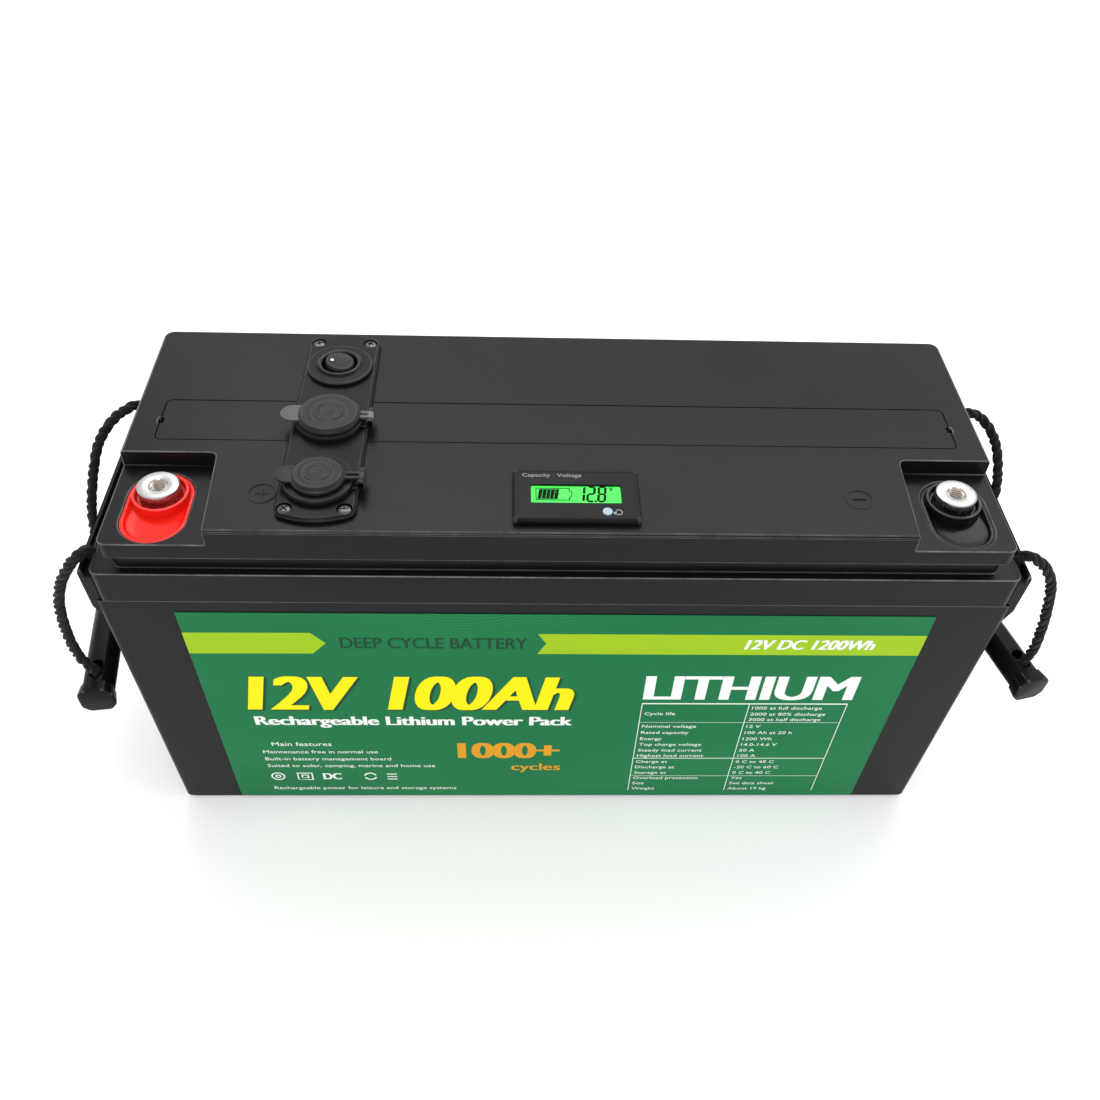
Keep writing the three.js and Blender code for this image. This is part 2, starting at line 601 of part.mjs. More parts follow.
// The flange, with two hinge knuckles on a tongue at its right-hand side.
function socketFlange(y) {
  const x = PANEL_X;
  const plate = turned([
    [0, FLANGE_Z], [DEVICE_FLANGE_R, FLANGE_Z], [DEVICE_FLANGE_R, FLANGE_Z + 2],
    [DEVICE_FLANGE_R - 0.8, FLANGE_Z + 2.8], [0, FLANGE_Z + 2.8],
  ], 24, x, y);
  const hingeX = x + CAP_HINGE_X;
  const tongue = box(x + 14, hingeX + 1.8, y - 5.6, y + 5.6, FLANGE_Z, FLANGE_Z + 1.3);
  const knuckles = [-1, 1].map((end) => {
    const [low, high] = end < 0 ? [y - 5.6, y - 3.0] : [y + 3.0, y + 5.6];
    return join(
      rodY(1.8, low, high, 12, hingeX, CAP_HINGE_Z),
      box(hingeX - 1.6, hingeX + 1.6, low, high, FLANGE_Z + 0.5, CAP_HINGE_Z),
    );
  });
  const pinHole = rodY(1.05, y - 8, y + 8, 8, hingeX, CAP_HINGE_Z);
  return cut(join(plate, tongue, ...knuckles), pinHole);
}

function buildSocketBarrel() {
  const y = SOCKET_Y;
  const barrel = rod(DEVICE_BODY_R, 190, FLANGE_Z + 1, 24, PANEL_X, y);
  const bore = rod(10.5, 194, 260, 24, PANEL_X, y);
  const contactHole = rod(3.3, 180, 200, 10, PANEL_X, y);
  return cut(join(barrel, socketFlange(y)), bore, contactHole);
}

function buildUsbHousing() {
  const y = USB_Y;
  const body = rod(DEVICE_BODY_R, 212, FLANGE_Z + 1, 24, PANEL_X, y);
  const faceWell = rod(11.8, FLANGE_Z + 1.2, 260, 24, PANEL_X, y);
  const ports = [-4.6, 4.6].map((offset) => box(
    PANEL_X - 6.6, PANEL_X + 6.6, y + offset - 2.9, y + offset + 2.9, 230, 260,
  ));
  return cut(join(body, socketFlange(y)), faceWell, ...ports);
}

// A dust cap: a shallow domed disc with a pull tab, a plug underneath and a hinge knuckle.
function buildCap(y, radius, tabReach, plugRadius, plugDepth) {
  const base = FLANGE_Z + 2.8 + CLEAR;
  const disc = turned([
    [0, base], [radius - 0.5, base], [radius, base + 0.6], [radius, base + 2.6], [radius - 1, base + 3.4],
    [radius * 0.72, base + 3.7], [0, base + 3.7],
  ], 24, PANEL_X, y);
  const plug = rod(plugRadius, base - plugDepth, base + 1, 20, PANEL_X, y);
  const tab = extrudeZ(stadiumX(PANEL_X - tabReach, PANEL_X, y, 6.2), base + 0.8, base + 2.6, 8);
  const strapEnd = PANEL_X + CAP_HINGE_X;
  const strap = box(PANEL_X + radius - 3, strapEnd, y - 2.6, y + 2.6, base, CAP_HINGE_Z + 1.6);
  const knuckle = rodY(1.8, y - 2.6, y + 2.6, 12, strapEnd, CAP_HINGE_Z);
  const pinHole = rodY(1.05, y - 8, y + 8, 12, strapEnd, CAP_HINGE_Z);
  return cut(join(disc, plug, tab, strap, knuckle), pinHole);
}

// A stadium that lies along X, from its rounded end at xLow to a straight stop at xHigh.
function stadiumX(xLow, xHigh, y, halfWidth) {
  const shape = new THREE.Shape();
  shape.moveTo(xHigh, y + halfWidth);
  shape.lineTo(xLow + halfWidth, y + halfWidth);
  shape.absarc(xLow + halfWidth, y, halfWidth, Math.PI / 2, Math.PI * 1.5, false);
  shape.lineTo(xHigh, y - halfWidth);
  return shape;
}

function hingePin(y) {
  return rodY(0.92, y - 5.4, y + 5.4, 8, PANEL_X + CAP_HINGE_X, CAP_HINGE_Z);
}

addPart('socket_barrel', buildSocketBarrel(), 'panel_plastic');
addPart('socket_contact', turned([
  [0, 184], [1.6, 184], [1.6, 188], [3, 188], [3, 196], [2, 198.5], [0, 199.5],
], 10, PANEL_X, SOCKET_Y), 'brass');
addPart('socket_nut', buildNut(SOCKET_Y), 'panel_plastic');
addPart('socket_cap', buildCap(SOCKET_Y, 16.8, 25.0, 9.6, 2.6), 'cap_rubber');
addPart('socket_cap_pin', hingePin(SOCKET_Y), 'screw_steel');
addPart('usb_housing', buildUsbHousing(), 'panel_plastic');
addPart('usb_nut', buildNut(USB_Y), 'panel_plastic');
addPart('usb_cap', buildCap(USB_Y, 13.8, 20.5, 10.6, 1.5), 'cap_rubber');
addPart('usb_cap_pin', hingePin(USB_Y), 'screw_steel');

// ---------------------------------------------------------------- charge display
const BEZEL_Z = LID_TOP_Z + CLEAR;
const BEZEL_TOP_Z = BEZEL_Z + DISPLAY_T;

function buildDisplayHousing() {
  const foot = [DISPLAY_HALF_X, DISPLAY_HALF_Y];
  const face = [DISPLAY_HALF_X - 1.2, DISPLAY_HALF_Y - 1.2];
  const bezel = taperedBlock(foot, face, 1.6, BEZEL_Z, BEZEL_TOP_Z, DISPLAY_X, DISPLAY_Y);
  const skirt = extrudeZ(rectangle(28.2, 15.4, 1, DISPLAY_X, DISPLAY_Y), 226, BEZEL_Z + 1);
  const hollow = extrudeZ(rectangle(26.6, 13.8, 0.8, DISPLAY_X, DISPLAY_Y), 220, BEZEL_Z + 1.4);
  const windowHole = extrudeZ(rectangle(WINDOW_HALF_X, WINDOW_HALF_Y, 1, WINDOW_X, WINDOW_Y), 230, 260);
  const keyHole = rod(KEY_R + CLEAR, 230, 260, 12, KEY_X, KEY_Y);
  return cut(join(bezel, skirt), hollow, windowHole, keyHole);
}

function buildKey() {
  const cap = rod(KEY_R, BEZEL_Z - 1.2, BEZEL_TOP_Z + 0.5, 12, KEY_X, KEY_Y);
  const foot = box(KEY_X - 2.6, KEY_X + 2.6, KEY_Y - 1.1, KEY_Y + 2.6, BEZEL_Z - 1.4, BEZEL_Z + 0.6);
  return join(cap, foot);
}

// A plate that lies in the window opening, so many millimetres inside its edge and below the bezel.
function windowPlate(inset, low, high) {
  const outline = rectangle(WINDOW_HALF_X - inset, WINDOW_HALF_Y - inset, 1.1 - inset, WINDOW_X, WINDOW_Y);
  return extrudeZ(outline, BEZEL_TOP_Z - low, BEZEL_TOP_Z - high);
}

const displayBoard = extrudeZ(rectangle(26, 13.2, 0.8, DISPLAY_X, DISPLAY_Y), 232, 233.6);
addPart('display_housing', buildDisplayHousing(), 'panel_plastic');
addPart('display_window', windowPlate(0.2, 1.0, 0.3), 'lcd_glass');
addPart('lcd_panel', windowPlate(0.3, 3.2, 1.3), 'lcd_panel');
addPart('display_board', displayBoard, 'circuit_board');
addPart('display_key', buildKey(), 'key_plastic');

// ---------------------------------------------------------------- cells and links
const CELL_LEFT_X = -134;
const CELL_RIGHT_X = 40;
const CELL_ROW_Y = 24.4;
const CELL_CENTRES = [
  [CELL_LEFT_X, -CELL_ROW_Y], [CELL_RIGHT_X, -CELL_ROW_Y],
  [CELL_RIGHT_X, CELL_ROW_Y], [CELL_LEFT_X, CELL_ROW_Y],
];
const CELL_TOP_Z = CELL_BASE_Z + CELL_Z;

function buildCell([x, y]) {
  const can = extrudeZ(rectangle(CELL_X / 2, CELL_Y / 2, 3, x, y), CELL_BASE_Z, CELL_TOP_Z, 2);
  const posts = [x - CELL_POST_OFFSET, x + CELL_POST_OFFSET].map((postX) => rod(
    6, CELL_TOP_Z - 1, CELL_TOP_Z + 3, 12, postX, y,
  ));
  return join(can, ...posts);
}
CELL_CENTRES.forEach((centre, i) => addPart(`cell_${i + 1}`, buildCell(centre), 'cell_can'));

const LINK_Z = CELL_TOP_Z + 3 + CLEAR;
function buildLink(xLow, xHigh, yLow, yHigh) {
  return box(xLow - 8, xHigh + 8, yLow - 8, yHigh + 8, LINK_Z, LINK_Z + 2);
}
const LINK_LEFT = CELL_LEFT_X + CELL_POST_OFFSET;
const LINK_RIGHT = CELL_RIGHT_X - CELL_POST_OFFSET;
const LINK_END = CELL_RIGHT_X + CELL_POST_OFFSET;
addPart('cell_link_front', buildLink(LINK_LEFT, LINK_RIGHT, -CELL_ROW_Y, -CELL_ROW_Y), 'copper');
addPart('cell_link_back', buildLink(LINK_LEFT, LINK_RIGHT, CELL_ROW_Y, CELL_ROW_Y), 'copper');
addPart('cell_link_end', buildLink(LINK_END, LINK_END, -CELL_ROW_Y, CELL_ROW_Y), 'copper');

// ---------------------------------------------------------------- battery management board and leads
const BOARD_X = 158;
addPart('bms_board', join(
  box(BOARD_X, BOARD_X + 2, -60, 60, 30, 160),
  box(BOARD_X - 4, BOARD_X + 0.5, -50, 50, 118, 140),
  box(BOARD_X - 6, BOARD_X + 0.5, -45, -15, 40, 80),
), 'circuit_board');

function buildHeatSink() {
  const plate = box(BOARD_X + 2 + CLEAR, BOARD_X + 6, -60, 60, 30, 160);
  const fins = [];
  for (let y = -54; y <= 54; y += 18) {
    fins.push(box(BOARD_X + 5, BOARD_X + 16, y - 1.2, y + 1.2, 30, 160));
  }
  return join(plate, ...fins);
}
addPart('bms_heat_sink', buildHeatSink(), 'aluminium');

const POSITIVE_CELL_X = CELL_LEFT_X - CELL_POST_OFFSET;
const LEAD_R = 4;
function buildLead(points, radius) {
  return tube(points, radius, 8, 14);
}
addPart('positive_lead', buildLead([
  [POSITIVE_CELL_X, -CELL_ROW_Y, 180.4],
  [POSITIVE_CELL_X, -CELL_ROW_Y, 187],
  [-201.4, -31, 195],
  [-TERMINAL_X, -46, 200],
  [-TERMINAL_X, TERMINAL_Y, 207],
  [-TERMINAL_X, TERMINAL_Y, 213.4],
], LEAD_R), 'cable_red');
addPart('board_lead', buildLead([
  [POSITIVE_CELL_X, CELL_ROW_Y, 180.4],
  [POSITIVE_CELL_X, CELL_ROW_Y, 186],
  [-196, 36, 194],
  [-184, 56, 196],
  [-150, 64, 192],
  [-60, 65, 190],
  [40, 65, 190],
  [110, 62, 188],
  [145, 45, 176],
  [150, 40, 160],
  [BOARD_X - 4.7, 40, 150],
], LEAD_R), 'cable_black');
addPart('negative_lead', buildLead([
  [BOARD_X - 4.7, -40, 150],
  [149, -40, 160],
  [150, -42, 178],
  [165, -46, 194],
  [192, TERMINAL_Y, 199],
  [TERMINAL_X, TERMINAL_Y, 206],
  [TERMINAL_X, TERMINAL_Y, 213.4],
], LEAD_R), 'cable_black');

// ---------------------------------------------------------------- foam packing
addPart('foam_base', box(-226, 150, -76, 76, TUB_WALL + 0.2, CELL_BASE_Z - 0.2), 'foam');
addPart('foam_front', box(-222, 128, -78, -49, CELL_BASE_Z + 0.2, 150), 'foam');
addPart('foam_back', box(-222, 128, 49, 78, CELL_BASE_Z + 0.2, 150), 'foam');

// ---------------------------------------------------------------- rope handles
// Each handle is a grip on a loop of rope that swings about the line through its two rope holes.
// Points run from the front hole down to the grip and, behind it, back up to the rear hole.
const LEFT_HANDLE = {
  name: 'left',
  grip: [-270.2, -29.3, 104.5],
  turn: 7.6,
  front: [
    [-238.3, -68.0, 213.6], [-239.4, -71.8, 214.3], [-242.2, -74.4, 213.5], [-245.6, -75.3, 210.8],
    [-249.2, -75.2, 206.0], [-252.9, -74.6, 200.6], [-256.4, -73.8, 194.6], [-261.4, -72.8, 183.8],
    [-264.8, -72.0, 173.3], [-267.1, -71.2, 162.6], [-268.7, -70.4, 151.6], [-269.6, -69.8, 139.9],
    [-269.0, -69.0, 126.5],
  ],
  rear: [
    [-275.8, 9.8, 120.0], [-276.6, 10.6, 132.0], [-276.4, 12.0, 145.0], [-275.2, 13.5, 156.2],
    [-273.7, 15.5, 164.2], [-272.0, 18.5, 172.5], [-269.7, 21.5, 180.7], [-267.5, 25.0, 188.2],
    [-264.9, 29.0, 195.8], [-261.0, 33.0, 202.6], [-258.0, 36.0, 206.2], [-254.7, 38.6, 209.2],
    [-251.4, 40.6, 211.6], [-247.8, 42.4, 213.4], [-244.4, 44.2, 214.4], [-241.0, 46.6, 214.6],
    [-238.3, 49.0, 213.6],
  ],
};
const RIGHT_HANDLE = {
  name: 'right',
  grip: [264.4, -30.5, 118.0],
  turn: 14.0,
  front: [
    [238.3, -68.0, 213.6], [241.6, -70.2, 214.8], [246.3, -71.6, 213.3], [252.0, -72.2, 208.9],
    [256.6, -72.4, 202.8], [260.3, -72.4, 196.3], [263.4, -72.0, 187.9], [266.3, -71.6, 178.0],
    [269.2, -71.0, 167.5], [272.0, -70.2, 155.1], [274.4, -69.5, 142.3], [274.8, -69.0, 134.0],
  ],
  rear: [
    [255.3, 8.2, 136.0], [256.4, 9.0, 146.0], [258.6, 11.0, 158.0], [261.4, 13.8, 169.5],
    [263.6, 18.0, 180.6], [263.7, 22.5, 187.4], [263.0, 28.5, 195.4], [261.3, 33.5, 201.5],
    [258.7, 38.0, 206.8], [255.4, 42.4, 210.8], [251.6, 46.0, 213.4], [247.4, 48.2, 214.8],
    [242.6, 49.0, 215.1], [238.3, 49.0, 213.6],
  ],
};

// Where the rope dips into one end of the grip, in the grip's own frame: along, up.
const ROPE_IN_GRIP = [[39.4, 9.5], [38.0, 4.4], [33.4, 1.1], [27.0, 0.0]];

function gripToWorld(handle, along, up) {
  const angle = THREE.MathUtils.degToRad(handle.turn);
  const [x, y, z] = handle.grip;
  return [x - Math.sin(angle) * along, y + Math.cos(angle) * along, z + up];
}

function handleRoute(handle) {
  const inFront = ROPE_IN_GRIP.map(([along, up]) => gripToWorld(handle, -along, up));
  const behind = ROPE_IN_GRIP.map(([along, up]) => gripToWorld(handle, along, up)).reverse();
  return [...handle.front, ...inFront, ...behind, ...handle.rear];
}

// An eight-sided cap that widens towards the grip's end.
function gripCap(end) {
  const outline = polygon([
    [-9.9, -5.2], [-6.0, -9.4], [6.0, -9.4], [9.9, -5.2], [9.9, 5.2], [6.0, 9.4], [-6.0, 9.4], [-9.9, 5.2],
  ]);
  const geometry = new THREE.ExtrudeGeometry(outline, { depth: GRIP_CAP_LENGTH, bevelEnabled: false });
  const position = geometry.attributes.position;
  for (let i = 0; i < position.count; i += 1) {
    const inner = position.getZ(i) < GRIP_CAP_LENGTH / 2;
    const scale = inner === end < 0 ? 1.0 : 0.9;
    position.setXYZ(i, position.getX(i) * scale, position.getY(i) * scale, position.getZ(i));
  }
  const yHigh = end < 0 ? -GRIP_HALF_LENGTH + GRIP_CAP_LENGTH : GRIP_HALF_LENGTH;
  return solid(geometry.rotateX(Math.PI / 2).translate(0, yHigh, 0));
}

function buildGrip() {
  const body = rodY(GRIP_R, -GRIP_HALF_LENGTH + 2, GRIP_HALF_LENGTH - 2, 20, 0, 0);
  const bore = rodY(GRIP_BORE_R, -46, 46, 14, 0, 0);
  const slots = [-1, 1].map((end) => extrudeZ(
    stadium(0, ROPE_R + 0.8, end * GRIP_SLOT_Y - 6.9, end * GRIP_SLOT_Y + 6.9), 0, 15, 4,
  ));
  return cut(join(body, gripCap(-1), gripCap(1)), bore, ...slots);
}

for (const handle of [LEFT_HANDLE, RIGHT_HANDLE]) {
  addPart(`${handle.name}_rope`, tube(handleRoute(handle), ROPE_R, 8, 64), 'rope_fibre');
  const grip = addPart(`${handle.name}_grip`, buildGrip(), 'grip_plastic');
  grip.position.set(...handle.grip);
  grip.rotation.z = THREE.MathUtils.degToRad(handle.turn);
}

// A short end of rope stands in each hole, with a stopper knot under the lug.
const KNOT_R = 4.6;
const KNOT_Z = 170.2;
function buildKnot(side, y) {
  const x = side * ROPE_HOLE_X;
  const stub = rod(ROPE_R, KNOT_Z - 2, ROPE_START_Z - ROPE_R - CLEAR, 8, x, y);
  return join(stub, ball(KNOT_R, 12, x, y, KNOT_Z, 1.05));
}
for (const [side, sideName] of [[-1, 'left'], [1, 'right']]) {
  ['front', 'rear'].forEach((endName, i) => {
    addPart(`${sideName}_${endName}_knot`, buildKnot(side, ROPE_HOLES_Y[i]), 'rope_fibre');
  });
}

export default battery;
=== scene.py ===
# Deep cycle battery: the looks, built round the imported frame. Metres, same frame as the CAD.
import json
import math

import bmesh
import bpy
from mathutils import Matrix, Vector


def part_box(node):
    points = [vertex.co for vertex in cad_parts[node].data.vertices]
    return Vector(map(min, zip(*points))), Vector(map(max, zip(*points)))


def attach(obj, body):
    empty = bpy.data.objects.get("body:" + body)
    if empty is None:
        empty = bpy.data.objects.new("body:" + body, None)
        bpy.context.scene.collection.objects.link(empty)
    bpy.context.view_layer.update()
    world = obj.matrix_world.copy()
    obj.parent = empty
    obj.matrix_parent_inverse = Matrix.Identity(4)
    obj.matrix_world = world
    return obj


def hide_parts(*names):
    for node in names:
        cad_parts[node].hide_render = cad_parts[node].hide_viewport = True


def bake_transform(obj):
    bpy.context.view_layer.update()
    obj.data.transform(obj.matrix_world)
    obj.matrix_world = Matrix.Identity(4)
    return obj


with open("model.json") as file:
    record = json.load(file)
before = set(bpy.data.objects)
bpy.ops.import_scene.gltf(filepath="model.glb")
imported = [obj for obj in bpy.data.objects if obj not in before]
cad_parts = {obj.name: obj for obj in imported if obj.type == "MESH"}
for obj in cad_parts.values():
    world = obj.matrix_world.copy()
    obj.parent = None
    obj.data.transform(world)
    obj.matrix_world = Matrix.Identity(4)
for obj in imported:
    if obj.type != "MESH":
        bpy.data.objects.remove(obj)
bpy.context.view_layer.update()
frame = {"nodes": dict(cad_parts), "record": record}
nodes = frame["nodes"]
MM = 0.001
CASE = "case"


# ---- camera, floor and light
CAMERA_PLACE = (-0.02609, -0.44206, 0.58526)
CAMERA_YAW, CAMERA_PITCH, CAMERA_ROLL = 0.0588, 0.8679, 0.0499
LIGHTS = (
    # name, place, aim, size, watts, colour
    ("top_light", (0.15, 0.75, 1.35), (0, 0, 0.2), (1.7, 0.8), 11.5, (0.93, 0.97, 1.0)),
    ("front_light", (-0.25, -1.35, 1.25), (0, 0, 0.15), (0.7, 0.35), 5, (1, 1, 1)),
    ("right_light", (1.5, -0.5, 0.75), (0.1, 0, 0.15), (0.3, 0.8), 3, (1, 1, 1)),
)
FLOOR_HALF, FLOOR_Z = 6.0, -0.0002


def make_camera():
    level = math.cos(CAMERA_PITCH)
    ahead = Vector((math.sin(CAMERA_YAW) * level, math.cos(CAMERA_YAW) * level, -math.sin(CAMERA_PITCH)))
    right = ahead.cross(Vector((0, 0, 1))).normalized()
    up = right.cross(ahead)
    cos, sin = math.cos(CAMERA_ROLL), math.sin(CAMERA_ROLL)
    right, up = right * cos + up * sin, up * cos - right * sin
    data = bpy.data.cameras.new("camera")
    data.sensor_width = 36.0
    data.lens = 33.663
    data.shift_y = 0.0818
    data.clip_start = 0.01
    camera = bpy.data.objects.new("camera", data)
    turn = Matrix((right, up, -ahead)).transposed()
    camera.matrix_world = Matrix.Translation(Vector(CAMERA_PLACE)) @ turn.to_4x4()
    bpy.context.collection.objects.link(camera)
    bpy.context.scene.camera = camera


def make_studio():
    world = bpy.data.worlds.new("studio")
    bpy.context.scene.world = world
    bpy.context.scene.view_settings.view_transform = "Standard"
    world.use_nodes = True
    fill(world.node_tree.nodes["Background"], {"Color": (1.0, 1.0, 1.0, 1), "Strength": 1.0})
    for name, place, aim, size, watts, colour in LIGHTS:
        data = bpy.data.lights.new(name, "AREA")
        data.shape = "RECTANGLE"
        data.size, data.size_y = size
        data.energy = watts
        data.color = colour
        lamp = bpy.data.objects.new(name, data)
        lamp.location = place
        lamp.rotation_mode = "QUATERNION"
        lamp.rotation_quaternion = (Vector(place) - Vector(aim)).to_track_quat("Z", "Y")
        bpy.context.collection.objects.link(lamp)
    mesh = bpy.data.meshes.new("floor")
    corners = [(sx * FLOOR_HALF, sy * FLOOR_HALF, 0) for sx, sy in ((-1, -1), (1, -1), (1, 1), (-1, 1))]
    mesh.from_pydata(corners, [], [(0, 1, 2, 3)])
    floor = bpy.data.objects.new("floor", mesh)
    bpy.context.collection.objects.link(floor)
    floor.location.z = FLOOR_Z
    mesh.materials.append(Graph("floor").done({
        "Base Color": (0.95, 0.95, 0.95, 1), "Emission Color": (1, 1, 1, 1), "Emission Strength": 0.1,
        "Roughness": 0.9,
    }))


# ---- materials
def fill(node, inputs):
    """Gives a node its inputs: sockets are linked, other values are set."""
    for key, value in inputs.items():
        if isinstance(value, bpy.types.NodeSocket):
            node.id_data.links.new(value, node.inputs[key])
        else:
            node.inputs[key].default_value = value


class Graph:
    """A new material, with short calls for its nodes. Each call gives a node's output."""

    def __init__(self, name):
        self.material = bpy.data.materials.new(name)
        self.material.use_nodes = True
        self.nodes = self.material.node_tree.nodes
        self.place = self.nodes.new("ShaderNodeTexCoord").outputs["Object"]

    def node(self, kind, output, inputs, **settings):
        made = self.nodes.new(kind)
        for key, value in settings.items():
            setattr(made, key, value)
        fill(made, inputs)
        return made.outputs[output]

    def noise(self, scale, detail=3.0, roughness=0.55, where=None, distortion=0.0):
        return self.node("ShaderNodeTexNoise", "Fac", {
            "Vector": where or self.place, "Scale": scale, "Detail": detail, "Roughness": roughness,
            "Distortion": distortion,
        })

    def mapped(self, where=None, **inputs):
        return self.node("ShaderNodeMapping", "Vector", {"Vector": where or self.place, **inputs})

    def spread(self, value, low, high, to_low=0.0, to_high=1.0):
        return self.node("ShaderNodeMapRange", "Result", {
            "Value": value, "From Min": low, "From Max": high, "To Min": to_low, "To Max": to_high,
        })

    def mix(self, share, a, b):
        return self.node("ShaderNodeMix", 2, {0: share, 6: a, 7: b}, data_type="RGBA")

    def math(self, operation, a, b):
        return self.node("ShaderNodeMath", 0, {0: a, 1: b}, operation=operation)

    def bump(self, height, depth, strength=1.0, normal=None):
        inputs = {"Height": height, "Distance": depth, "Strength": strength}
        if normal:
            inputs["Normal"] = normal
        return self.node("ShaderNodeBump", "Normal", inputs)

    def done(self, inputs):
        """Sets the shader's inputs and gives the material."""
        fill(self.nodes["Principled BSDF"], inputs)
        return self.material


def rgba(colour, gain=1.0):
    return (*[min(1.0, c * gain) for c in colour], 1)


def moulded(name, colour, roughness, grain=1800.0, depth=0.00003, mottle=0.25, scuffs=0.35, coat=0.0,
            specular=0.5, edge_highlight=0.05):
    """A moulded plastic or rubber: fine grain, slow mottling, hairline scuffs and a painted highlight that
    draws its rounded edges paler.
    """
    g = Graph(name)
    slow = g.noise(14.0, 4.0)
    speck = g.noise(420.0, 3.0, 0.7)
    base = g.mix(g.spread(slow, 0.35, 0.65), rgba(colour, 1 - mottle), rgba(colour, 1 + mottle))
    base = g.mix(g.spread(speck, 0.62, 0.75, 0, 0.35), base, rgba(colour, 1.8))
    # Painted highlight: rounded outer edges, as marked on the mesh, are drawn paler, standing in for the
    # light that they catch.
    edge = g.node("ShaderNodeAttribute", "Fac", {}, attribute_name="painted_highlight")
    highlight_share = g.math("MULTIPLY", edge, g.spread(g.noise(70.0, 4.0, 0.7), 0.35, 0.65, 0.4, 1.0))
    base = g.mix(highlight_share, base, rgba([c + edge_highlight for c in colour], 1.3))
    along = g.noise(60.0, 5.0, 0.75, g.mapped(Scale=(1.0, 14.0, 14.0)), 1.5)
    across = g.noise(55.0, 5.0, 0.75, g.mapped(Scale=(12.0, 1.0, 12.0)), 1.5)
    marks = [g.spread(along, 0.66, 0.72, 0, scuffs), g.spread(across, 0.68, 0.74, 0, scuffs)]
    marks = g.math("MAXIMUM", *marks)
    rough = g.spread(slow, 0.3, 0.7, roughness - 0.06, roughness + 0.06)
    return g.done({
        "Base Color": base, "Roughness": g.math("ADD", rough, g.math("MULTIPLY", marks, 0.18)),
        "Normal": g.bump(marks, 0.00001, 0.4, g.bump(g.noise(grain, 2.0, 0.6), depth)),
        "Coat Weight": coat, "Coat Roughness": 0.12, "Specular IOR Level": specular,
    })


def metal(name, colour, roughness, streak=(1.0, 1.0, 1.0), depth=0.00002, tarnish=0.3, speckle=0.0):
    """A turned, rolled or cast metal: streaks from its making, small pits and slow tarnish."""
    g = Graph(name)
    lines = g.noise(700.0, 4.0, 0.6, g.mapped(Scale=streak))
    pits = g.noise(2600.0, 2.0)
    dark = rgba([c * (1 - tarnish) for c in colour])
    base = g.mix(g.spread(g.noise(90.0, 4.0), 0.35, 0.75), rgba(colour), dark)
    return g.done({
        "Base Color": g.mix(g.spread(pits, 0.6, 0.72, 0, speckle), base, rgba(colour, 0.35)),
        "Roughness": g.spread(lines, 0.3, 0.7, roughness - 0.08, roughness + 0.1), "Metallic": 1.0,
        "Normal": g.bump(lines, depth, 0.6, g.bump(pits, depth * 0.6, 0.5)),
    })


def film(name, colour, roughness=0.32, specular=0.12):
    """Printed ink on a smooth film, with a trace of unevenness."""
    g = Graph(name)
    slow = g.noise(35.0, 3.0)
    return g.done({
        "Base Color": g.mix(slow, rgba(colour, 0.94), rgba(colour, 1.06)), "Specular IOR Level": specular,
        "Roughness": g.spread(slow, 0.3, 0.7, roughness - 0.04, roughness + 0.05),
        "Normal": g.bump(g.noise(900.0, 2.0), 0.000006, 0.5),
    })


def label_film(name, colour, paler):
    """The label's green ground with three fans of very fine, paler curved lines."""
    g = Graph(name)
    fans = []
    for x, z, scale, low, high in ((-0.05, 0.34, 150.0, 0.12, 0.19), (0.13, -0.22, 130.0, 0.22, 0.3),
                                   (-0.2, -0.16, 140.0, 0.17, 0.25)):
        moved = g.mapped(Location=(-x, 0.0835, -z))
        bent = g.node("ShaderNodeTexWave", "Fac", {
            "Vector": moved, "Scale": scale, "Distortion": 14.0, "Detail": 1.0, "Detail Scale": 0.25,
        }, wave_type="RINGS", rings_direction="SPHERICAL")
        far = g.node("ShaderNodeVectorMath", "Value", {0: moved}, operation="LENGTH")
        middle = (low + high) / 2
        share = g.math("MULTIPLY", g.spread(far, low, middle), g.spread(far, middle, high, 1, 0))
        fans.append(g.math("MULTIPLY", g.spread(bent, 0.72, 0.95), share))
    lines = g.math("MAXIMUM", fans[0], g.math("MAXIMUM", *fans[1:]))
    ground = g.mix(g.noise(9.0, 2.0), rgba(colour, 0.92), rgba(colour, 1.1))
    return g.done({
        "Base Color": g.mix(g.math("MULTIPLY", lines, 0.32), ground, rgba(paler)),
        "Roughness": g.spread(g.noise(30.0), 0.3, 0.7, 0.28, 0.38), "Specular IOR Level": 0.12,
        "Normal": g.bump(g.noise(800.0, 2.0), 0.000006, 0.5),
    })


def rope_material(name, colour):
    """Twisted fibre: fine threads that run along each strand."""
    g = Graph(name)
    uv = g.node("ShaderNodeUVMap", "UV", {}, uv_map="along")
    fibre = g.noise(1.0, 2.0, 0.6, g.mapped(uv, Scale=(34.0, 900.0, 1.0)), 0.4)
    base = g.mix(g.spread(fibre, 0.35, 0.7), rgba(colour, 0.45), rgba(colour, 1.9))
    dusty = rgba([c + 0.006 for c in colour], 1.6)
    return g.done({
        "Base Color": g.mix(g.spread(g.noise(60.0), 0.45, 0.75, 0, 0.3), base, dusty), "Roughness": 0.62,
        "Normal": g.bump(fibre, 0.0003, 0.9, g.bump(g.noise(2600.0, 3.0, 0.7), 0.00008, 0.7)),
        "Specular IOR Level": 0.2, "Sheen Weight": 0.08, "Sheen Roughness": 0.5,
    })


def glowing(name, colour, strength):
    """A lit screen, very slightly uneven."""
    g = Graph(name)
    glow = g.mix(g.noise(50.0, 2.0), rgba(colour, 0.88), rgba(colour))
    return g.done({
        "Base Color": glow, "Emission Color": glow, "Emission Strength": strength, "Roughness": 0.35,
    })


def clear_window(name):
    """A window that is seen only by its reflections."""
    g = Graph(name)
    return g.done({
        "Roughness": g.spread(g.noise(120.0), 0.3, 0.7, 0.02, 0.06), "Base Color": (0.01, 0.01, 0.01, 1),
        "Alpha": 0.05, "Specular IOR Level": 0.2,
    })


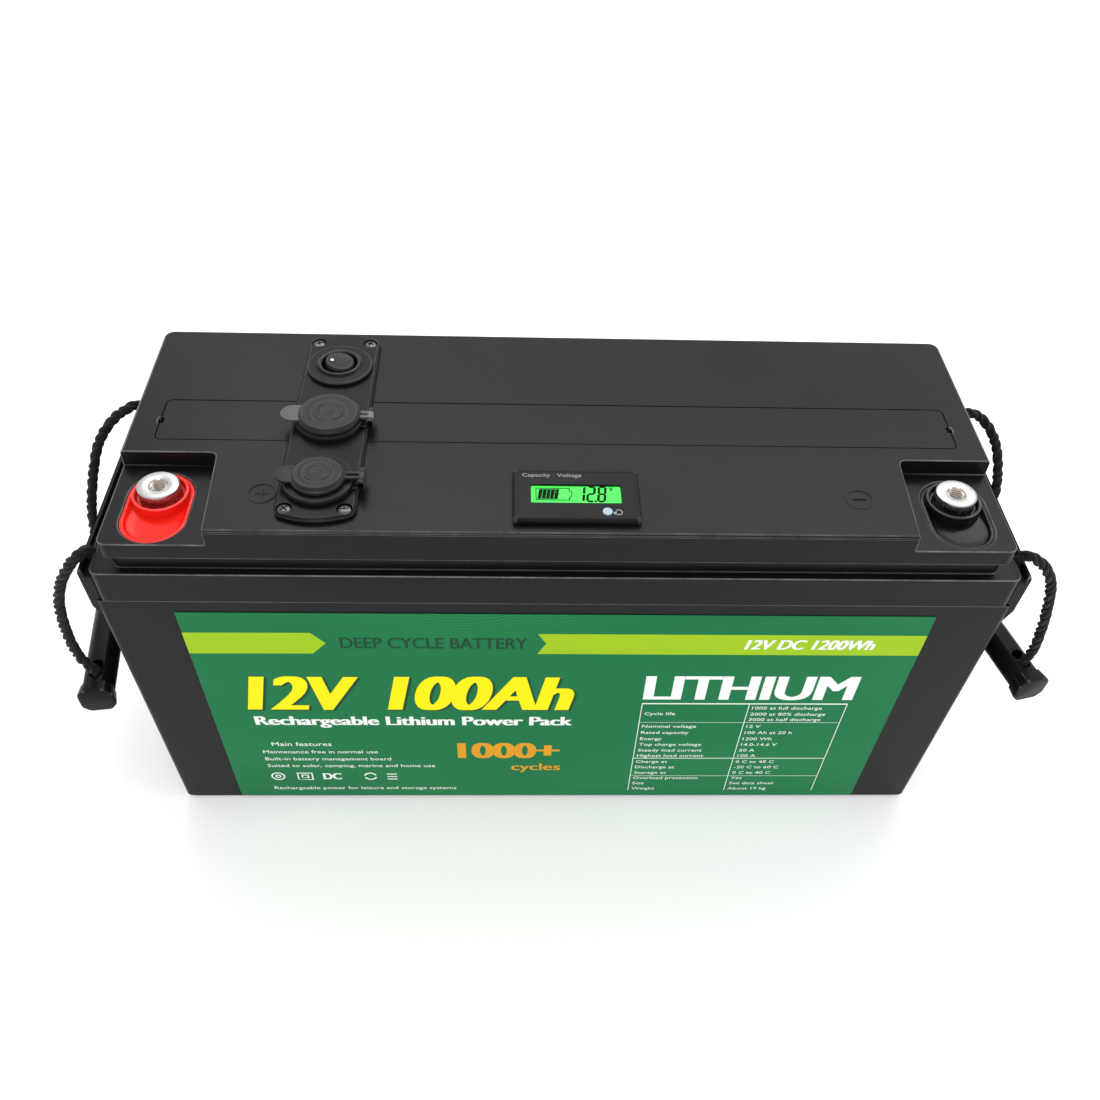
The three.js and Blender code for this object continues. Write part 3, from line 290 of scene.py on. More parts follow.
def foam(name, colour):
    """Closed-cell packing foam."""
    g = Graph(name)
    cells = g.node("ShaderNodeTexVoronoi", "Distance", {"Vector": g.place, "Scale": 900.0})
    return g.done({
        "Base Color": g.mix(g.noise(40.0), rgba(colour, 0.85), rgba(colour)), "Roughness": 0.95,
        "Normal": g.bump(cells, 0.0002, 0.6),
    })


# Blender numbers a name that the frame already uses, so the number is left out of the key.
MATERIALS = {look.name.split(".")[0]: look for look in (
    # Each moulded material paints a highlight on its rounded edges as a paler colour; the last keyword of
    # the next five materials sets how much paler, and the other moulded ones take 0.05.
    moulded("case_plastic", (0.0055, 0.0055, 0.0065), 0.32, mottle=0.1, specular=0.15, edge_highlight=0.12),
    moulded("strip_plastic", (0.0055, 0.0055, 0.0065), 0.32, mottle=0.1, specular=0.15, edge_highlight=0.0),
    moulded("panel_plastic", (0.0055, 0.0054, 0.006), 0.34, 1500.0, mottle=0.12, specular=0.12, edge_highlight=0.035),
    moulded("cap_rubber", (0.009, 0.009, 0.0095), 0.34, 1200.0, mottle=0.15, scuffs=0.3, specular=0.22,
            edge_highlight=0.02),
    moulded("rocker_plastic", (0.01, 0.01, 0.0105), 0.34, mottle=0.1, specular=0.2, edge_highlight=0.03),
    moulded("red_plastic", (0.72, 0.012, 0.006), 0.2, 900.0, 0.00001, 0.05, 0.15, coat=0.1, specular=0.15),
    moulded("black_gloss", (0.004, 0.004, 0.0045), 0.14, 900.0, 0.00001, 0.1, 0.15, specular=0.2),
    moulded("circuit_board", (0.008, 0.12, 0.03), 0.4, 600.0),
    moulded("tab_rubber", (0.065, 0.065, 0.065), 0.55, 1200.0, mottle=0.15, scuffs=0.2),
    moulded("key_plastic", (0.32, 0.4, 0.46), 0.4, 900.0, mottle=0.06),
    moulded("grip_plastic", (0.0035, 0.0035, 0.0037), 0.42, 1300.0, 0.00005, specular=0.13),
    moulded("cell_can", (0.014, 0.08, 0.33), 0.3, 500.0),
    moulded("glue", (0.004, 0.004, 0.004), 0.55, 600.0),
    moulded("cable_red", (0.45, 0.012, 0.008), 0.4, 700.0),
    moulded("cable_black", (0.01, 0.01, 0.01), 0.4, 700.0),
    metal("tin_plate", (0.52, 0.51, 0.5), 0.25, tarnish=0.1, speckle=0.08, depth=0.00004),
    metal("brass", (0.58, 0.5, 0.42), 0.28, (1, 1, 14)),
    metal("screw_steel", (0.13, 0.13, 0.135), 0.26, tarnish=0.5),
    metal("copper", (0.75, 0.33, 0.17), 0.3, (1, 12, 12)),
    metal("aluminium", (0.62, 0.63, 0.64), 0.35, (14, 14, 1)),
    label_film("label_film", (0.004, 0.15, 0.05), (0.06, 0.34, 0.11)),
    clear_window("lcd_glass"),
    glowing("lcd_panel", (0.03, 0.74, 0.05), 0.5),
    rope_material("rope_fibre", (0.0035, 0.0035, 0.0037)),
    foam("foam", (0.79, 0.75, 0.64)),
    film("ink_lime", (0.3, 0.49, 0.008)),
    film("ink_yellow", (0.85, 0.74, 0.0)),
    film("ink_white", (0.8, 0.82, 0.8)),
    film("ink_orange", (0.68, 0.3, 0.01)),
    film("ink_dark", (0.006, 0.05, 0.025)),
    film("ink_grey", (0.3, 0.31, 0.32)),
    film("ink_lcd", (0.002, 0.02, 0.004), 0.6, 0.02),
)}


# ---- mesh helpers, all in millimetres
def object_from(name, bm):
    mesh = bpy.data.meshes.new(name)
    bm.to_mesh(mesh)
    bm.free()
    made = bpy.data.objects.new(name, mesh)
    bpy.context.collection.objects.link(made)
    return made


def from_millimetres(name, bm):
    bmesh.ops.recalc_face_normals(bm, faces=bm.faces)
    made = object_from(name, bm)
    made.data.transform(Matrix.Scale(MM, 4))
    return made


def placed(made, place, angle, axis="Z"):
    turn = Matrix.Rotation(math.radians(angle), 4, axis)
    made.data.transform(Matrix.Translation(Vector(place) * MM) @ turn)
    return made


def loft(name, rings):
    """A capped skin over rings of points. Every ring has the same number of points."""
    bm = bmesh.new()
    rows = [[bm.verts.new(p) for p in ring] for ring in rings]
    for low, high in zip(rows, rows[1:]):
        for i in range(len(low)):
            j = (i + 1) % len(low)
            bm.faces.new((low[i], low[j], high[j], high[i]))
    bm.faces.new(reversed(rows[0]))
    bm.faces.new(rows[-1])
    return from_millimetres(name, bm)


def turned(name, profile, centre=(0, 0), segments=72, wave=None):
    """profile is [radius, height] points that run from the axis, out and back, or close on themselves."""
    bm = bmesh.new()
    rings = []
    for index, (radius, height) in enumerate(profile):
        if radius == 0:
            rings.append([bm.verts.new((*centre, height))] * segments)
            continue
        ring = []
        for i in range(segments):
            angle = 2 * math.pi * i / segments
            r = radius + (wave(index, i) if wave else 0)
            x, y = centre[0] + r * math.cos(angle), centre[1] + r * math.sin(angle)
            ring.append(bm.verts.new((x, y, height)))
        rings.append(ring)
    pairs = list(zip(rings, rings[1:]))
    if profile[0][0] != 0:
        pairs.append((rings[-1], rings[0]))
    for a, b in pairs:
        for i in range(segments):
            j = (i + 1) % segments
            corners = list(dict.fromkeys((a[i], a[j], b[j], b[i])))
            if len(corners) > 2:
                bm.faces.new(corners)
    return from_millimetres(name, bm)


def stacked(name, outline, levels):
    """A skin over outline(inset) at each [inset, height] level."""
    return loft(name, [[(x, y, z) for x, y in outline(inset)] for inset, z in levels])


def prism(name, outline, low, high):
    return stacked(name, lambda inset: outline, ((0, low), (0, high)))


def arc_points(x, y, radius, start, end, steps=24):
    """Points of an arc, its angles in degrees."""
    angles = [math.radians(start + (end - start) * k / steps) for k in range(steps + 1)]
    return [(x + radius * math.cos(a), y + radius * math.sin(a)) for a in angles]


def arc(x, y, radius, start, end, width):
    """The outline of a curved bar."""
    outer = arc_points(x, y, radius + width / 2, start, end)
    return outer + arc_points(x, y, radius - width / 2, start, end)[::-1]


def rounded(half_x, half_y, radius, x, y):
    """The outline of a box with rounded corners."""
    points = []
    for quarter, (sx, sy) in enumerate(((1, -1), (1, 1), (-1, 1), (-1, -1))):
        corner = (x + sx * (half_x - radius), y + sy * (half_y - radius))
        points += arc_points(*corner, radius, 90 * quarter - 90, 90 * quarter, 8)
    return points


def stadium(x, half_width, low, high, steps=24):
    """The outline of a slot that runs along y from low to high."""
    far, near = high - half_width, low + half_width
    return arc_points(x, far, half_width, 0, 180, steps) + arc_points(x, near, half_width, 180, 360, steps)


def apply_modifiers(made):
    bpy.context.view_layer.update()
    mesh = bpy.data.meshes.new_from_object(made.evaluated_get(bpy.context.evaluated_depsgraph_get()))
    made.modifiers.clear()
    made.data = mesh
    return made


def boolean(made, cutter, operation="DIFFERENCE"):
    modifier = made.modifiers.new("boolean", "BOOLEAN")
    modifier.object = cutter
    modifier.operation = operation
    modifier.solver = "EXACT"
    apply_modifiers(made)
    bpy.data.objects.remove(cutter)
    return made


def drill(made, place, radius, low, high, segments):
    boolean(made, turned("drill", [(0, low), (radius, low), (radius, high), (0, high)], place, segments))


def bevel(made, width, segments=3, angle=30.0):
    """Rounded edges: all those sharper than the angle, or without an angle those that carry a weight."""
    modifier = made.modifiers.new("bevel", "BEVEL")
    modifier.width = width * MM
    modifier.segments = segments
    modifier.limit_method = "ANGLE" if angle else "WEIGHT"
    modifier.angle_limit = math.radians(angle or 0.0)
    modifier.use_clamp_overlap = angle is not None
    modifier.miter_outer = "MITER_ARC"
    return apply_modifiers(made)


def flat_regions(bm, flat=2.0):
    """Which flat region each face belongs to, and each region's area and mean normal."""
    cos_flat = math.cos(math.radians(flat))
    region, areas, normals = [-1] * len(bm.faces), [], []
    for face in bm.faces:
        if region[face.index] >= 0:
            continue
        region[face.index] = len(areas)
        area, normal, stack = 0.0, Vector(), [face]
        while stack:
            here = stack.pop()
            area += here.calc_area()
            normal += here.normal * here.calc_area()
            for edge in here.edges:
                for other in edge.link_faces:
                    if region[other.index] < 0 and other.normal.dot(face.normal) > cos_flat:
                        region[other.index] = len(areas)
                        stack.append(other)
        areas.append(area)
        normals.append(normal.normalized() if area else face.normal.copy())
    return region, areas, normals


def mark_painted_highlight(made, narrow=0.0004, sharp=30.0):
    """A corner value, the mask of the painted edge highlight: 1 on a rounded outer edge and 0 on every
    wider face and in every hollow.
    """
    bm = bmesh.new()
    bm.from_mesh(made.data)
    bm.verts.ensure_lookup_table()
    turn = []
    for vert in bm.verts:
        angles = [edge.calc_face_angle_signed(0.0) for edge in vert.link_edges if edge.is_manifold]
        turn.append(min(1.0, max(0.0, max(angles, default=0.0)) / math.radians(sharp)))
    values = []
    for face in bm.faces:
        strip = 2 * face.calc_area() < narrow * face.calc_perimeter()
        values += [turn[vert.index] if strip else 0.0 for vert in face.verts]
    bm.free()
    # The corner attribute that the moulded materials read for their painted edge highlight.
    layer = made.data.attributes.new("painted_highlight", "FLOAT", "CORNER")
    layer.data.foreach_set("value", values)


def even_normals(made, limit=50.0, broad=0.00003):
    """Broad flat faces keep their own normal; the rounded edges between them shade smoothly into them."""
    bm = bmesh.new()
    bm.from_mesh(made.data)
    bm.faces.ensure_lookup_table()
    bm.normal_update()
    region, areas, normals = flat_regions(bm)
    cos_limit = math.cos(math.radians(limit))
    corners = []
    for face in bm.faces:
        own = region[face.index]
        for vert in face.verts:
            if areas[own] > broad:
                corners.append(normals[own])
                continue
            total = Vector()
            for other in {region[f.index] for f in vert.link_faces}:
                if normals[other].dot(normals[own]) > cos_limit:
                    total += normals[other] * areas[other]
            corners.append(total.normalized() if total.length else normals[own])
    bm.free()
    made.data.shade_smooth()
    made.data.normals_split_custom_set(corners)
    return made


def smooth(made, angle):
    made.data.shade_smooth()
    made.data.set_sharp_from_angle(angle=math.radians(angle))
    return made


def hand_over(made, look, body, *replaced, slot=None):
    """Gives a finished object its material, its body and the nodes that it stands for."""
    made.data.materials.clear()
    made.data.materials.append(MATERIALS[look])
    if body:
        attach(made, body)
    if replaced:
        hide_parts(*replaced)


def piece(made, look, body, *replaced, slot=None, angle=35.0, even=False):
    # Marks the rounded edges that the moulded materials draw with a painted highlight.
    mark_painted_highlight(made)
    even_normals(made) if even else smooth(made, angle)
    hand_over(made, look, body, *replaced, slot=slot)


def joined(name, parts):
    """One object from several; closed shells may run into each other."""
    bm = bmesh.new()
    for part in parts:
        bm.from_mesh(part.data)
        bpy.data.objects.remove(part)
    return object_from(name, bm)


def reach(face, edge):
    """How far a face reaches from one of its edges."""
    start, along = edge.verts[0].co, (edge.verts[1].co - edge.verts[0].co).normalized()
    return max((v.co - start).cross(along).length for v in face.verts)


def inside(edge, box, margin=0.001):
    low, high = box
    middle = (edge.verts[0].co + edge.verts[1].co) / 2
    return all(low[i] - margin < middle[i] < high[i] + margin for i in range(3))


def refined(node, width, segments=3, spared=()):
    """A CAD node with its flat faces joined and its edges rounded.

    Edges at low steps and inside the spared boxes stay sharp.
    """
    bm = bmesh.new()
    bm.from_mesh(nodes[node].data)
    bmesh.ops.remove_doubles(bm, verts=bm.verts, dist=1e-6)
    bmesh.ops.dissolve_limit(
        bm, angle_limit=math.radians(0.6), use_dissolve_boundaries=False, verts=bm.verts, edges=bm.edges,
    )
    weight = bm.edges.layers.float.new("bevel_weight_edge")
    for edge in bm.edges:
        if edge.is_manifold and edge.calc_face_angle() > math.radians(28.0):
            low = min(reach(face, edge) for face in edge.link_faces) < 2 * width * MM
            edge[weight] = 0.0 if low or any(inside(edge, box) for box in spared) else 1.0
    return bevel(object_from(node + "_body", bm), width, segments, None)


# ---- ropes
def between(p, q, start, end, at):
    return p * ((end - at) / (end - start)) + q * ((at - start) / (end - start))


def smooth_path(points, spacing=0.5):
    """A centripetal curve through the points, sampled every so many millimetres."""
    points = [Vector(p) for p in points]
    points = [points[0] * 2 - points[1], *points, points[-1] * 2 - points[-2]]
    dense = []
    for p0, p1, p2, p3 in zip(points, points[1:], points[2:], points[3:]):
        t = [0.0]
        for a, b in ((p0, p1), (p1, p2), (p2, p3)):
            t.append(t[-1] + max((b - a).length, 1e-6) ** 0.5)
        for k in range(40):
            u = t[1] + (t[2] - t[1]) * k / 40
            middle = between(p1, p2, t[1], t[2], u)
            before = between(between(p0, p1, t[0], t[1], u), middle, t[0], t[2], u)
            after = between(middle, between(p2, p3, t[2], t[3], u), t[1], t[3], u)
            dense.append(between(before, after, t[1], t[2], u))
    dense.append(points[-2])
    path, left = [dense[0]], spacing
    for a, b in zip(dense, dense[1:]):
        run = (b - a).length
        at = 0.0
        while run - at >= left:
            at += left
            left = spacing
            path.append(a + (b - a) * (at / run))
        left -= run - at
    if (path[-1] - dense[-1]).length > spacing * 0.3:
        path.append(dense[-1])
    return path


STRANDS = 3


def rope_outline(radius, around):
    """[angle, radius] points round three strands that lie against each other."""
    strand = radius * 0.545
    offset = radius - strand
    points = []
    for i in range(around):
        angle = 2 * math.pi * i / around
        best = radius * 0.62
        for k in range(STRANDS):
            turn = angle - 2 * math.pi * k / STRANDS
            within = strand ** 2 - (offset * math.sin(turn)) ** 2
            if within > 0 and math.cos(turn) > 0:
                best = max(best, offset * math.cos(turn) + math.sqrt(within))
        points.append((angle, best))
    return points


def rope_along(name, path, radius=3.0, pitch=16.5, around=36):
    """A laid rope: the outline of its strands, turned once each pitch, a little unevenly."""
    outline = rope_outline(radius, around)
    bm = bmesh.new()
    uv_layer = bm.loops.layers.uv.new("along")
    normal = None
    rows, runs, travelled = [], [], 0.0
    for index, point in enumerate(path):
        ahead = (path[min(index + 1, len(path) - 1)] - path[max(index - 1, 0)]).normalized()
        if normal is None:
            normal = ahead.orthogonal().normalized()
        normal = (normal - ahead * normal.dot(ahead)).normalized()
        side = ahead.cross(normal)
        if index:
            travelled += (point - path[index - 1]).length
        uneven = 0.3 * math.sin(0.31 * travelled) + 0.2 * math.sin(0.83 * travelled + 1.0)
        twist = 2 * math.pi * travelled / pitch + uneven
        swell = 1.0 + 0.02 * math.sin(0.57 * travelled + 2.0)
        row = []
        for angle, r in outline:
            r, a = r * swell, angle + twist
            row.append(bm.verts.new(point + normal * (r * math.cos(a)) + side * (r * math.sin(a))))
        rows.append(row)
        runs.append(travelled)
    for k, (low, high) in enumerate(zip(rows, rows[1:])):
        for i in range(around):
            j = (i + 1) % around
            face = bm.faces.new((low[i], low[j], high[j], high[i]))
            corners = ((i, k), (i + 1, k), (i + 1, k + 1), (i, k + 1))
            for loop, (u, v) in zip(face.loops, corners):
                loop[uv_layer].uv = (u / around * STRANDS, runs[v] * MM)
    bm.faces.new(reversed(rows[0]))
    bm.faces.new(rows[-1])
    return smooth(from_millimetres(name, bm), 60.0)


ROPE_IN_GRIP = [(39.4, 9.5), (38.0, 4.4), (33.4, 1.1), (27.0, 0.0)]
HANDLES = {
    "left": {
        "grip": (-270.2, -29.3, 104.5),
        "turn": 7.6,
        "front": [
            (-238.3, -68.0, 205.5), (-238.3, -68.2, 209.6), (-238.6, -69.4, 212.9), (-239.9, -71.8, 214.2),
            (-242.2, -74.0, 213.5), (-245.4, -75.1, 210.8), (-249.0, -75.1, 206.0), (-252.9, -74.6, 200.6),
            (-256.4, -73.8, 194.6), (-261.4, -72.8, 183.8), (-264.8, -72.0, 173.3), (-267.1, -71.2, 162.6),
            (-268.7, -70.4, 151.6), (-269.6, -69.8, 139.9), (-269.0, -69.0, 126.5),
        ],
        "rear": [
            (-275.8, 9.8, 120.0), (-276.6, 10.6, 132.0), (-276.4, 12.0, 145.0), (-275.2, 13.5, 156.2),
            (-273.7, 15.5, 164.2), (-272.0, 18.5, 172.5), (-269.7, 21.5, 180.7), (-267.5, 25.0, 188.2),
            (-264.9, 29.0, 195.8), (-261.0, 33.0, 202.6), (-258.0, 36.0, 206.2), (-254.7, 38.6, 209.2),
            (-251.4, 40.6, 211.6), (-247.8, 42.4, 213.4), (-244.4, 44.2, 214.6), (-241.2, 46.4, 214.7),
            (-239.2, 48.0, 213.1), (-238.4, 48.9, 210.0), (-238.3, 49.0, 205.5),
        ],
    },
    "right": {
        "grip": (264.4, -30.5, 118.0),
        "turn": 14.0,
        "front": [
            (238.3, -68.0, 205.5), (238.3, -68.1, 209.6), (239.1, -68.8, 213.0), (241.9, -70.2, 214.9),
            (246.3, -71.6, 213.3), (252.0, -72.2, 208.9), (256.6, -72.4, 202.8), (260.3, -72.4, 196.3),
            (263.4, -72.0, 187.9), (266.3, -71.6, 178.0), (269.2, -71.0, 167.5), (272.0, -70.2, 155.1),
            (274.4, -69.5, 142.3), (274.8, -69.0, 134.0),
        ],
        "rear": [
            (255.3, 8.2, 136.0), (256.4, 9.0, 146.0), (258.6, 11.0, 158.0), (261.4, 13.8, 169.5),
            (263.6, 18.0, 180.6), (263.7, 22.5, 187.4), (263.0, 28.5, 195.4), (261.3, 33.5, 201.5),
            (258.7, 38.0, 206.8), (255.4, 42.4, 210.8), (251.6, 46.0, 213.4), (247.4, 48.0, 214.9),
            (242.9, 48.9, 215.0), (239.6, 49.0, 213.2), (238.4, 49.0, 210.0), (238.3, 49.0, 205.5),
        ],
    },
}


def grip_point(handle, along, up):
    angle = math.radians(handle["turn"])
    x, y, z = handle["grip"]
    return (x - math.sin(angle) * along, y + math.cos(angle) * along, z + up)


def make_ropes():
    for name, handle in HANDLES.items():
        inner = [grip_point(handle, -along, up) for along, up in ROPE_IN_GRIP]
        inner += [grip_point(handle, along, up) for along, up in reversed(ROPE_IN_GRIP)]
        path = smooth_path([*handle["front"], *inner, *handle["rear"]])
        rope = rope_along(name + "_handle_rope", path)
        hand_over(rope, "rope_fibre", None, name + "_rope")
        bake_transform(rope)
        path = [p * MM for p in path]


make_camera()
make_ropes()
make_studio()


# ---- small builders
def block(name, low, high, edge=0.0):
    (x0, y0, z0), (x1, y1, z1) = low, high
    made = prism(name, [(x0, y0), (x1, y0), (x1, y1), (x0, y1)], z0, z1)
    return bevel(made, edge, 2) if edge else made


def rod_y(name, radius, low, high, x, z, segments=32, edge=0.0):
    """A round bar along y, its ends chamfered by edge."""
    ends = [(0, low), (0, high)]
    if edge:
        ends = [(edge, low), (0, low + edge), (0, high - edge), (edge, high)]
    rings = []
    for inset, y in ends:
        around = [(radius - inset, 2 * math.pi * i / segments) for i in range(segments)]
        rings.append([(x + r * math.cos(a), y, z + r * math.sin(a)) for r, a in around])
    return loft(name, rings)


# ---- the case
LUG_ENDS = [
    (Vector((x, y, 150)) * MM, Vector((x + 14, y + 12, 207)) * MM) for x in (-246, 232) for y in (-86, 74)
]
COVERED = [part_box("strip_cover"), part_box("display_housing")]
piece(refined("tub", 0.7, spared=LUG_ENDS), "case_plastic", CASE, "tub", even=True)
piece(refined("lid", 0.6, spared=COVERED), "case_plastic", CASE, "lid", even=True)
piece(refined("strip_cover", 0.25, 2), "strip_plastic", CASE, "strip_cover", slot="case_plastic", even=True)


# ---- the socket panel
PANEL_X, SWITCH_Y, SOCKET_Y, USB_Y = -121.5, 44.5, -3.5, -51.5
PANEL_ENDS = (-73.2, 72.6)
SCREW_PLACES = [(PANEL_X + dx, y) for dx, y in ((-14.5, 67.8), (14.5, 67.8), (-14.5, -70.2), (14.5, -70.2))]
SCREW_TURNS = (20, 62, 41, 8)


def make_panel():
    """A long plate with bowed ends, three round holes and four sunk screw holes."""
    half, bulge, corner_pull = 20.0, 5.0, 3.6
    rings = []
    for inset, z in ((0.3, 240.3), (0, 240.6), (0, 241.8), (0.12, 242.05), (1.15, 243.1), (1.45, 243.26),
                     (1.8, 243.3)):
        ring = []
        for end, side in zip(PANEL_ENDS, (-1, 1)):
            for k in range(41):
                t = -side * (k / 20 - 1)
                corner = max(0.0, abs(t) - 0.8) / 0.2
                pull = corner_pull * (1 - math.sqrt(max(0.0, 1 - corner * corner)))
                y = end + side * (bulge * (1 - t * t) - inset - pull)
                ring.append((PANEL_X + t * (half - inset), y, z))
        rings.append(ring)
    plate = loft("socket_panel_body", rings)
    for y in (SWITCH_Y, SOCKET_Y, USB_Y):
        drill(plate, (PANEL_X, y), 14.6, 235, 250, 72)
    bevel(plate, 0.25, 2, 60)
    sink = [(0, 230), (1.9, 230), (1.9, 241.7), (3.9, 241.7), (3.9, 250), (0, 250)]
    for place in SCREW_PLACES:
        boolean(plate, turned("sink", sink, place, 40))
    piece(plate, "panel_plastic", CASE, "socket_panel", even=True)


def make_screws():
    """Four domed heads with a cross recess, each left at its own turn."""
    profile = [
        (0, 229), (1.1, 230), (1.6, 231.5), (1.6, 241.9), (3.4, 241.9), (3.55, 242.2), (3.5, 242.5),
        (3.1, 242.95), (2.3, 243.25), (1.2, 243.4), (0, 243.42),
    ]
    for index, ((x, y), turn) in enumerate(zip(SCREW_PLACES, SCREW_TURNS), start=1):
        head = turned(f"panel_screw_{index}_body", profile, (x, y), 48)
        for angle in (turn, turn + 90):
            arm = block("arm", (-2.1, -0.42, -1.3), (2.1, 0.42, 1.0))
            boolean(head, placed(arm, (x, y, 243.4), angle))
        bevel(head, 0.08, 1, 50)
        piece(head, "screw_steel", CASE, f"panel_screw_{index}", angle=30)


# ---- stopper knots under the lugs
def make_knots():
    for x, side in ((-238.3, "left"), (238.3, "right")):
        for y, end in ((-68.0, "front"), (49.0, "rear")):
            parts = [rope_along("stub", [Vector((x, y, 205.0 - 0.6 * k)) for k in range(52)], 2.8)]
            for turn, lean in ((0.0, 0.2), (2.1, 1.1), (4.2, 1.1)):
                tip = Matrix.Rotation(turn, 3, "Z") @ Matrix.Rotation(lean, 3, "X")
                ring = [tip @ Vector((*point, 0)) for point in arc_points(0, 0, 2.3, 0, 360, 48)]
                ring = [Vector((x, y, 170.4)) + point for point in ring]
                parts.append(rope_along("turn", ring, 2.1, 7.2, 24))
            name = f"{side}_{end}_knot"
            piece(joined(name + "_body", parts), "rope_fibre", CASE, name, angle=60)


make_knots()

# ---- terminals
TERMINAL_X, TERMINAL_Y = 202.6, -47.6
RIDGES = 72


def knurl(index, i):
    """The ridges round a post's side, between the two points of its outline that frame them."""
    return -0.22 * abs(math.sin(math.pi * i / 4)) if index in (6, 7) else 0.0


def make_post(pole, centre):
    outline = [
        (0, 214), (13, 214), (13, 221), (10.5, 222), (10.5, 224.6), (10.4, 224.8), (10.5, 225.0),
        (10.5, 235.9), (10.4, 236.1), (10.45, 236.6), (10.3, 237.1), (9.9, 237.4), (9.4, 237.5),
        (5.3, 237.5), (4.9, 237.4), (4.35, 236.8), (4.3, 236.5), (4.3, 222.5), (0, 220.5),
    ]
    post = turned(pole + "_post_body", outline, centre, RIDGES * 4, knurl)
    piece(post, "tin_plate", CASE, pole + "_post", angle=30)
    thread = [(4.28, 223.0), (4.28, 236.6), (4.0, 236.7)]
    z = 236.4
    while z > 223.9:
        thread += [(3.42, z), (3.42, z - 0.16), (4.02, z - 0.62), (4.02, z - 0.76)]
        z -= 1.25
    thread += [(3.6, 223.0)]
    piece(turned(pole + "_thread", thread, centre, 64), "brass", CASE, angle=25)


def make_insert(pole, look, centre):
    """A shallow slot-shaped tray with a round collar at its rear end."""
    def outline(inset):
        return stadium(centre[0], 16.3 - inset, -81.8 + inset, -31.3 - inset, 36)

    tray = stacked("tray", outline, (
        (0, 225), (0, 229.9), (0.12, 230.3), (0.45, 230.5), (1.2, 230.5), (1.6, 230.36), (1.9, 229.9),
        (2.3, 229.0), (3.0, 228.45), (4.2, 228.25), (7.5, 228.1),
    ))
    collar = turned("collar", [
        (10.8, 223), (14.6, 223), (14.6, 227.6), (14.75, 228.4), (14.5, 229.2), (14.3, 231.9),
        (14.1, 232.6), (13.7, 232.95), (13.2, 233), (12.8, 232.8), (12.5, 232.2), (12.3, 230.2),
        (12.0, 229.6), (11.4, 229.4), (10.8, 229.4),
    ], centre, 96)
    piece(joined(pole + "_insert_body", [tray, collar]), look, CASE, pole + "_insert", angle=40)


for pole, side, look in (("positive", -1, "red_plastic"), ("negative", 1, "black_gloss")):
    make_post(pole, (side * TERMINAL_X, TERMINAL_Y))
    make_insert(pole, look, (side * TERMINAL_X, TERMINAL_Y))


make_panel()
make_screws()


# ---- switch and sockets
FLANGE_Z, ROCKER_Z, ROCKER_TILT = 243.6, 245.0, 8
HINGE_X, HINGE_Z, HINGE_HALF, CAP_HINGE_HALF = -100.1, 247.0, 5.6, 2.6
CAP_BASE_Z = 246.7
TAB_HALF = 6.2
FLANGE_EDGE = [(17.9, FLANGE_Z), (17.9, 245.2), (17.7, 245.8), (17.2, 246.25), (16.6, 246.4)]


def make_switch():
    housing = turned("switch_housing_body", [
        (0, 222), (14.2, 222), (14.2, FLANGE_Z), (17.9, FLANGE_Z), (17.9, 244.9), (17.7, 245.35),
        (17.2, 245.6), (16.6, 245.65), (13.3, 245.65), (12.7, 245.8), (11.6, 247.0), (11.1, 247.25),
        (10.5, 247.2), (9.9, 246.7), (9.4, 245.4), (9.1, 243.5), (9.0, 235.5), (0, 235.5),
    ], (PANEL_X, SWITCH_Y), 96)
    piece(housing, "panel_plastic", CASE, "switch_housing", angle=40)
    profile = [
        (0, -6.5), *arc_points(0, 0, 8.0, -54.3, 19.7, 14),
        (7.42, 2.85), (7.25, 3.0), (6.9, 3.05), (6.0, 2.98), (3.5, 2.7), (0, 2.6),
    ]
    tilted = (PANEL_X, SWITCH_Y, ROCKER_Z), ROCKER_TILT, "Y"
    rocker = placed(turned("switch_rocker_body", profile), *tilted)
    piece(rocker, "rocker_plastic", "rocker", "switch_rocker", angle=40)
    dot = turned("rocker_mark", [(0, 2.7), (1.0, 2.7), (1.0, 2.9), (0.8, 2.96), (0, 2.98)], (-4.3, 0), 32)
    piece(placed(dot, *tilted), "ink_white", "rocker", slot="rocker_plastic")


def hinge_tongue(y):
    """The fixed half of a cap's hinge: a tongue with two cheeks and knuckles."""
    low, high = (PANEL_X + 14, y - HINGE_HALF, FLANGE_Z), (HINGE_X + 1.8, y + HINGE_HALF, FLANGE_Z + 1.3)
    parts = [block("tongue", low, high, 0.25)]
    for low, high in ((y - HINGE_HALF, y - 3.0), (y + 3.0, y + HINGE_HALF)):
        parts.append(rod_y("knuckle", 1.8, low, high, HINGE_X, HINGE_Z, 32, 0.2))
        corners = (HINGE_X - 1.6, low, FLANGE_Z + 0.5), (HINGE_X + 1.6, high, HINGE_Z)
        parts.append(block("cheek", *corners, 0.2))
    return parts


def make_sockets():
    barrel = turned("barrel", [
        (3.3, 190), (14.2, 190), (14.2, FLANGE_Z), *FLANGE_EDGE, (11.4, 246.4), (10.9, 246.2),
        (10.6, 245.7), (10.5, 244.9), (10.5, 194), (3.3, 194),
    ], (PANEL_X, SOCKET_Y), 96)
    usb = turned("usb", [
        (0, 212), (14.2, 212), (14.2, FLANGE_Z), *FLANGE_EDGE, (12.4, 246.4), (12.0, 246.25), (11.8, 245.8),
        (11.8, 244.9), (0, 244.9),
    ], (PANEL_X, USB_Y), 96)
    for y in (USB_Y - 4.6, USB_Y + 4.6):
        boolean(usb, block("port", (PANEL_X - 6.6, y - 2.9, 230), (PANEL_X + 6.6, y + 2.9, 260)))
    for name, body, y in (("socket_barrel", barrel, SOCKET_Y), ("usb_housing", usb, USB_Y)):
        whole = joined(name + "_body", [body, *hinge_tongue(y)])
        piece(whole, "panel_plastic", CASE, name, angle=40)


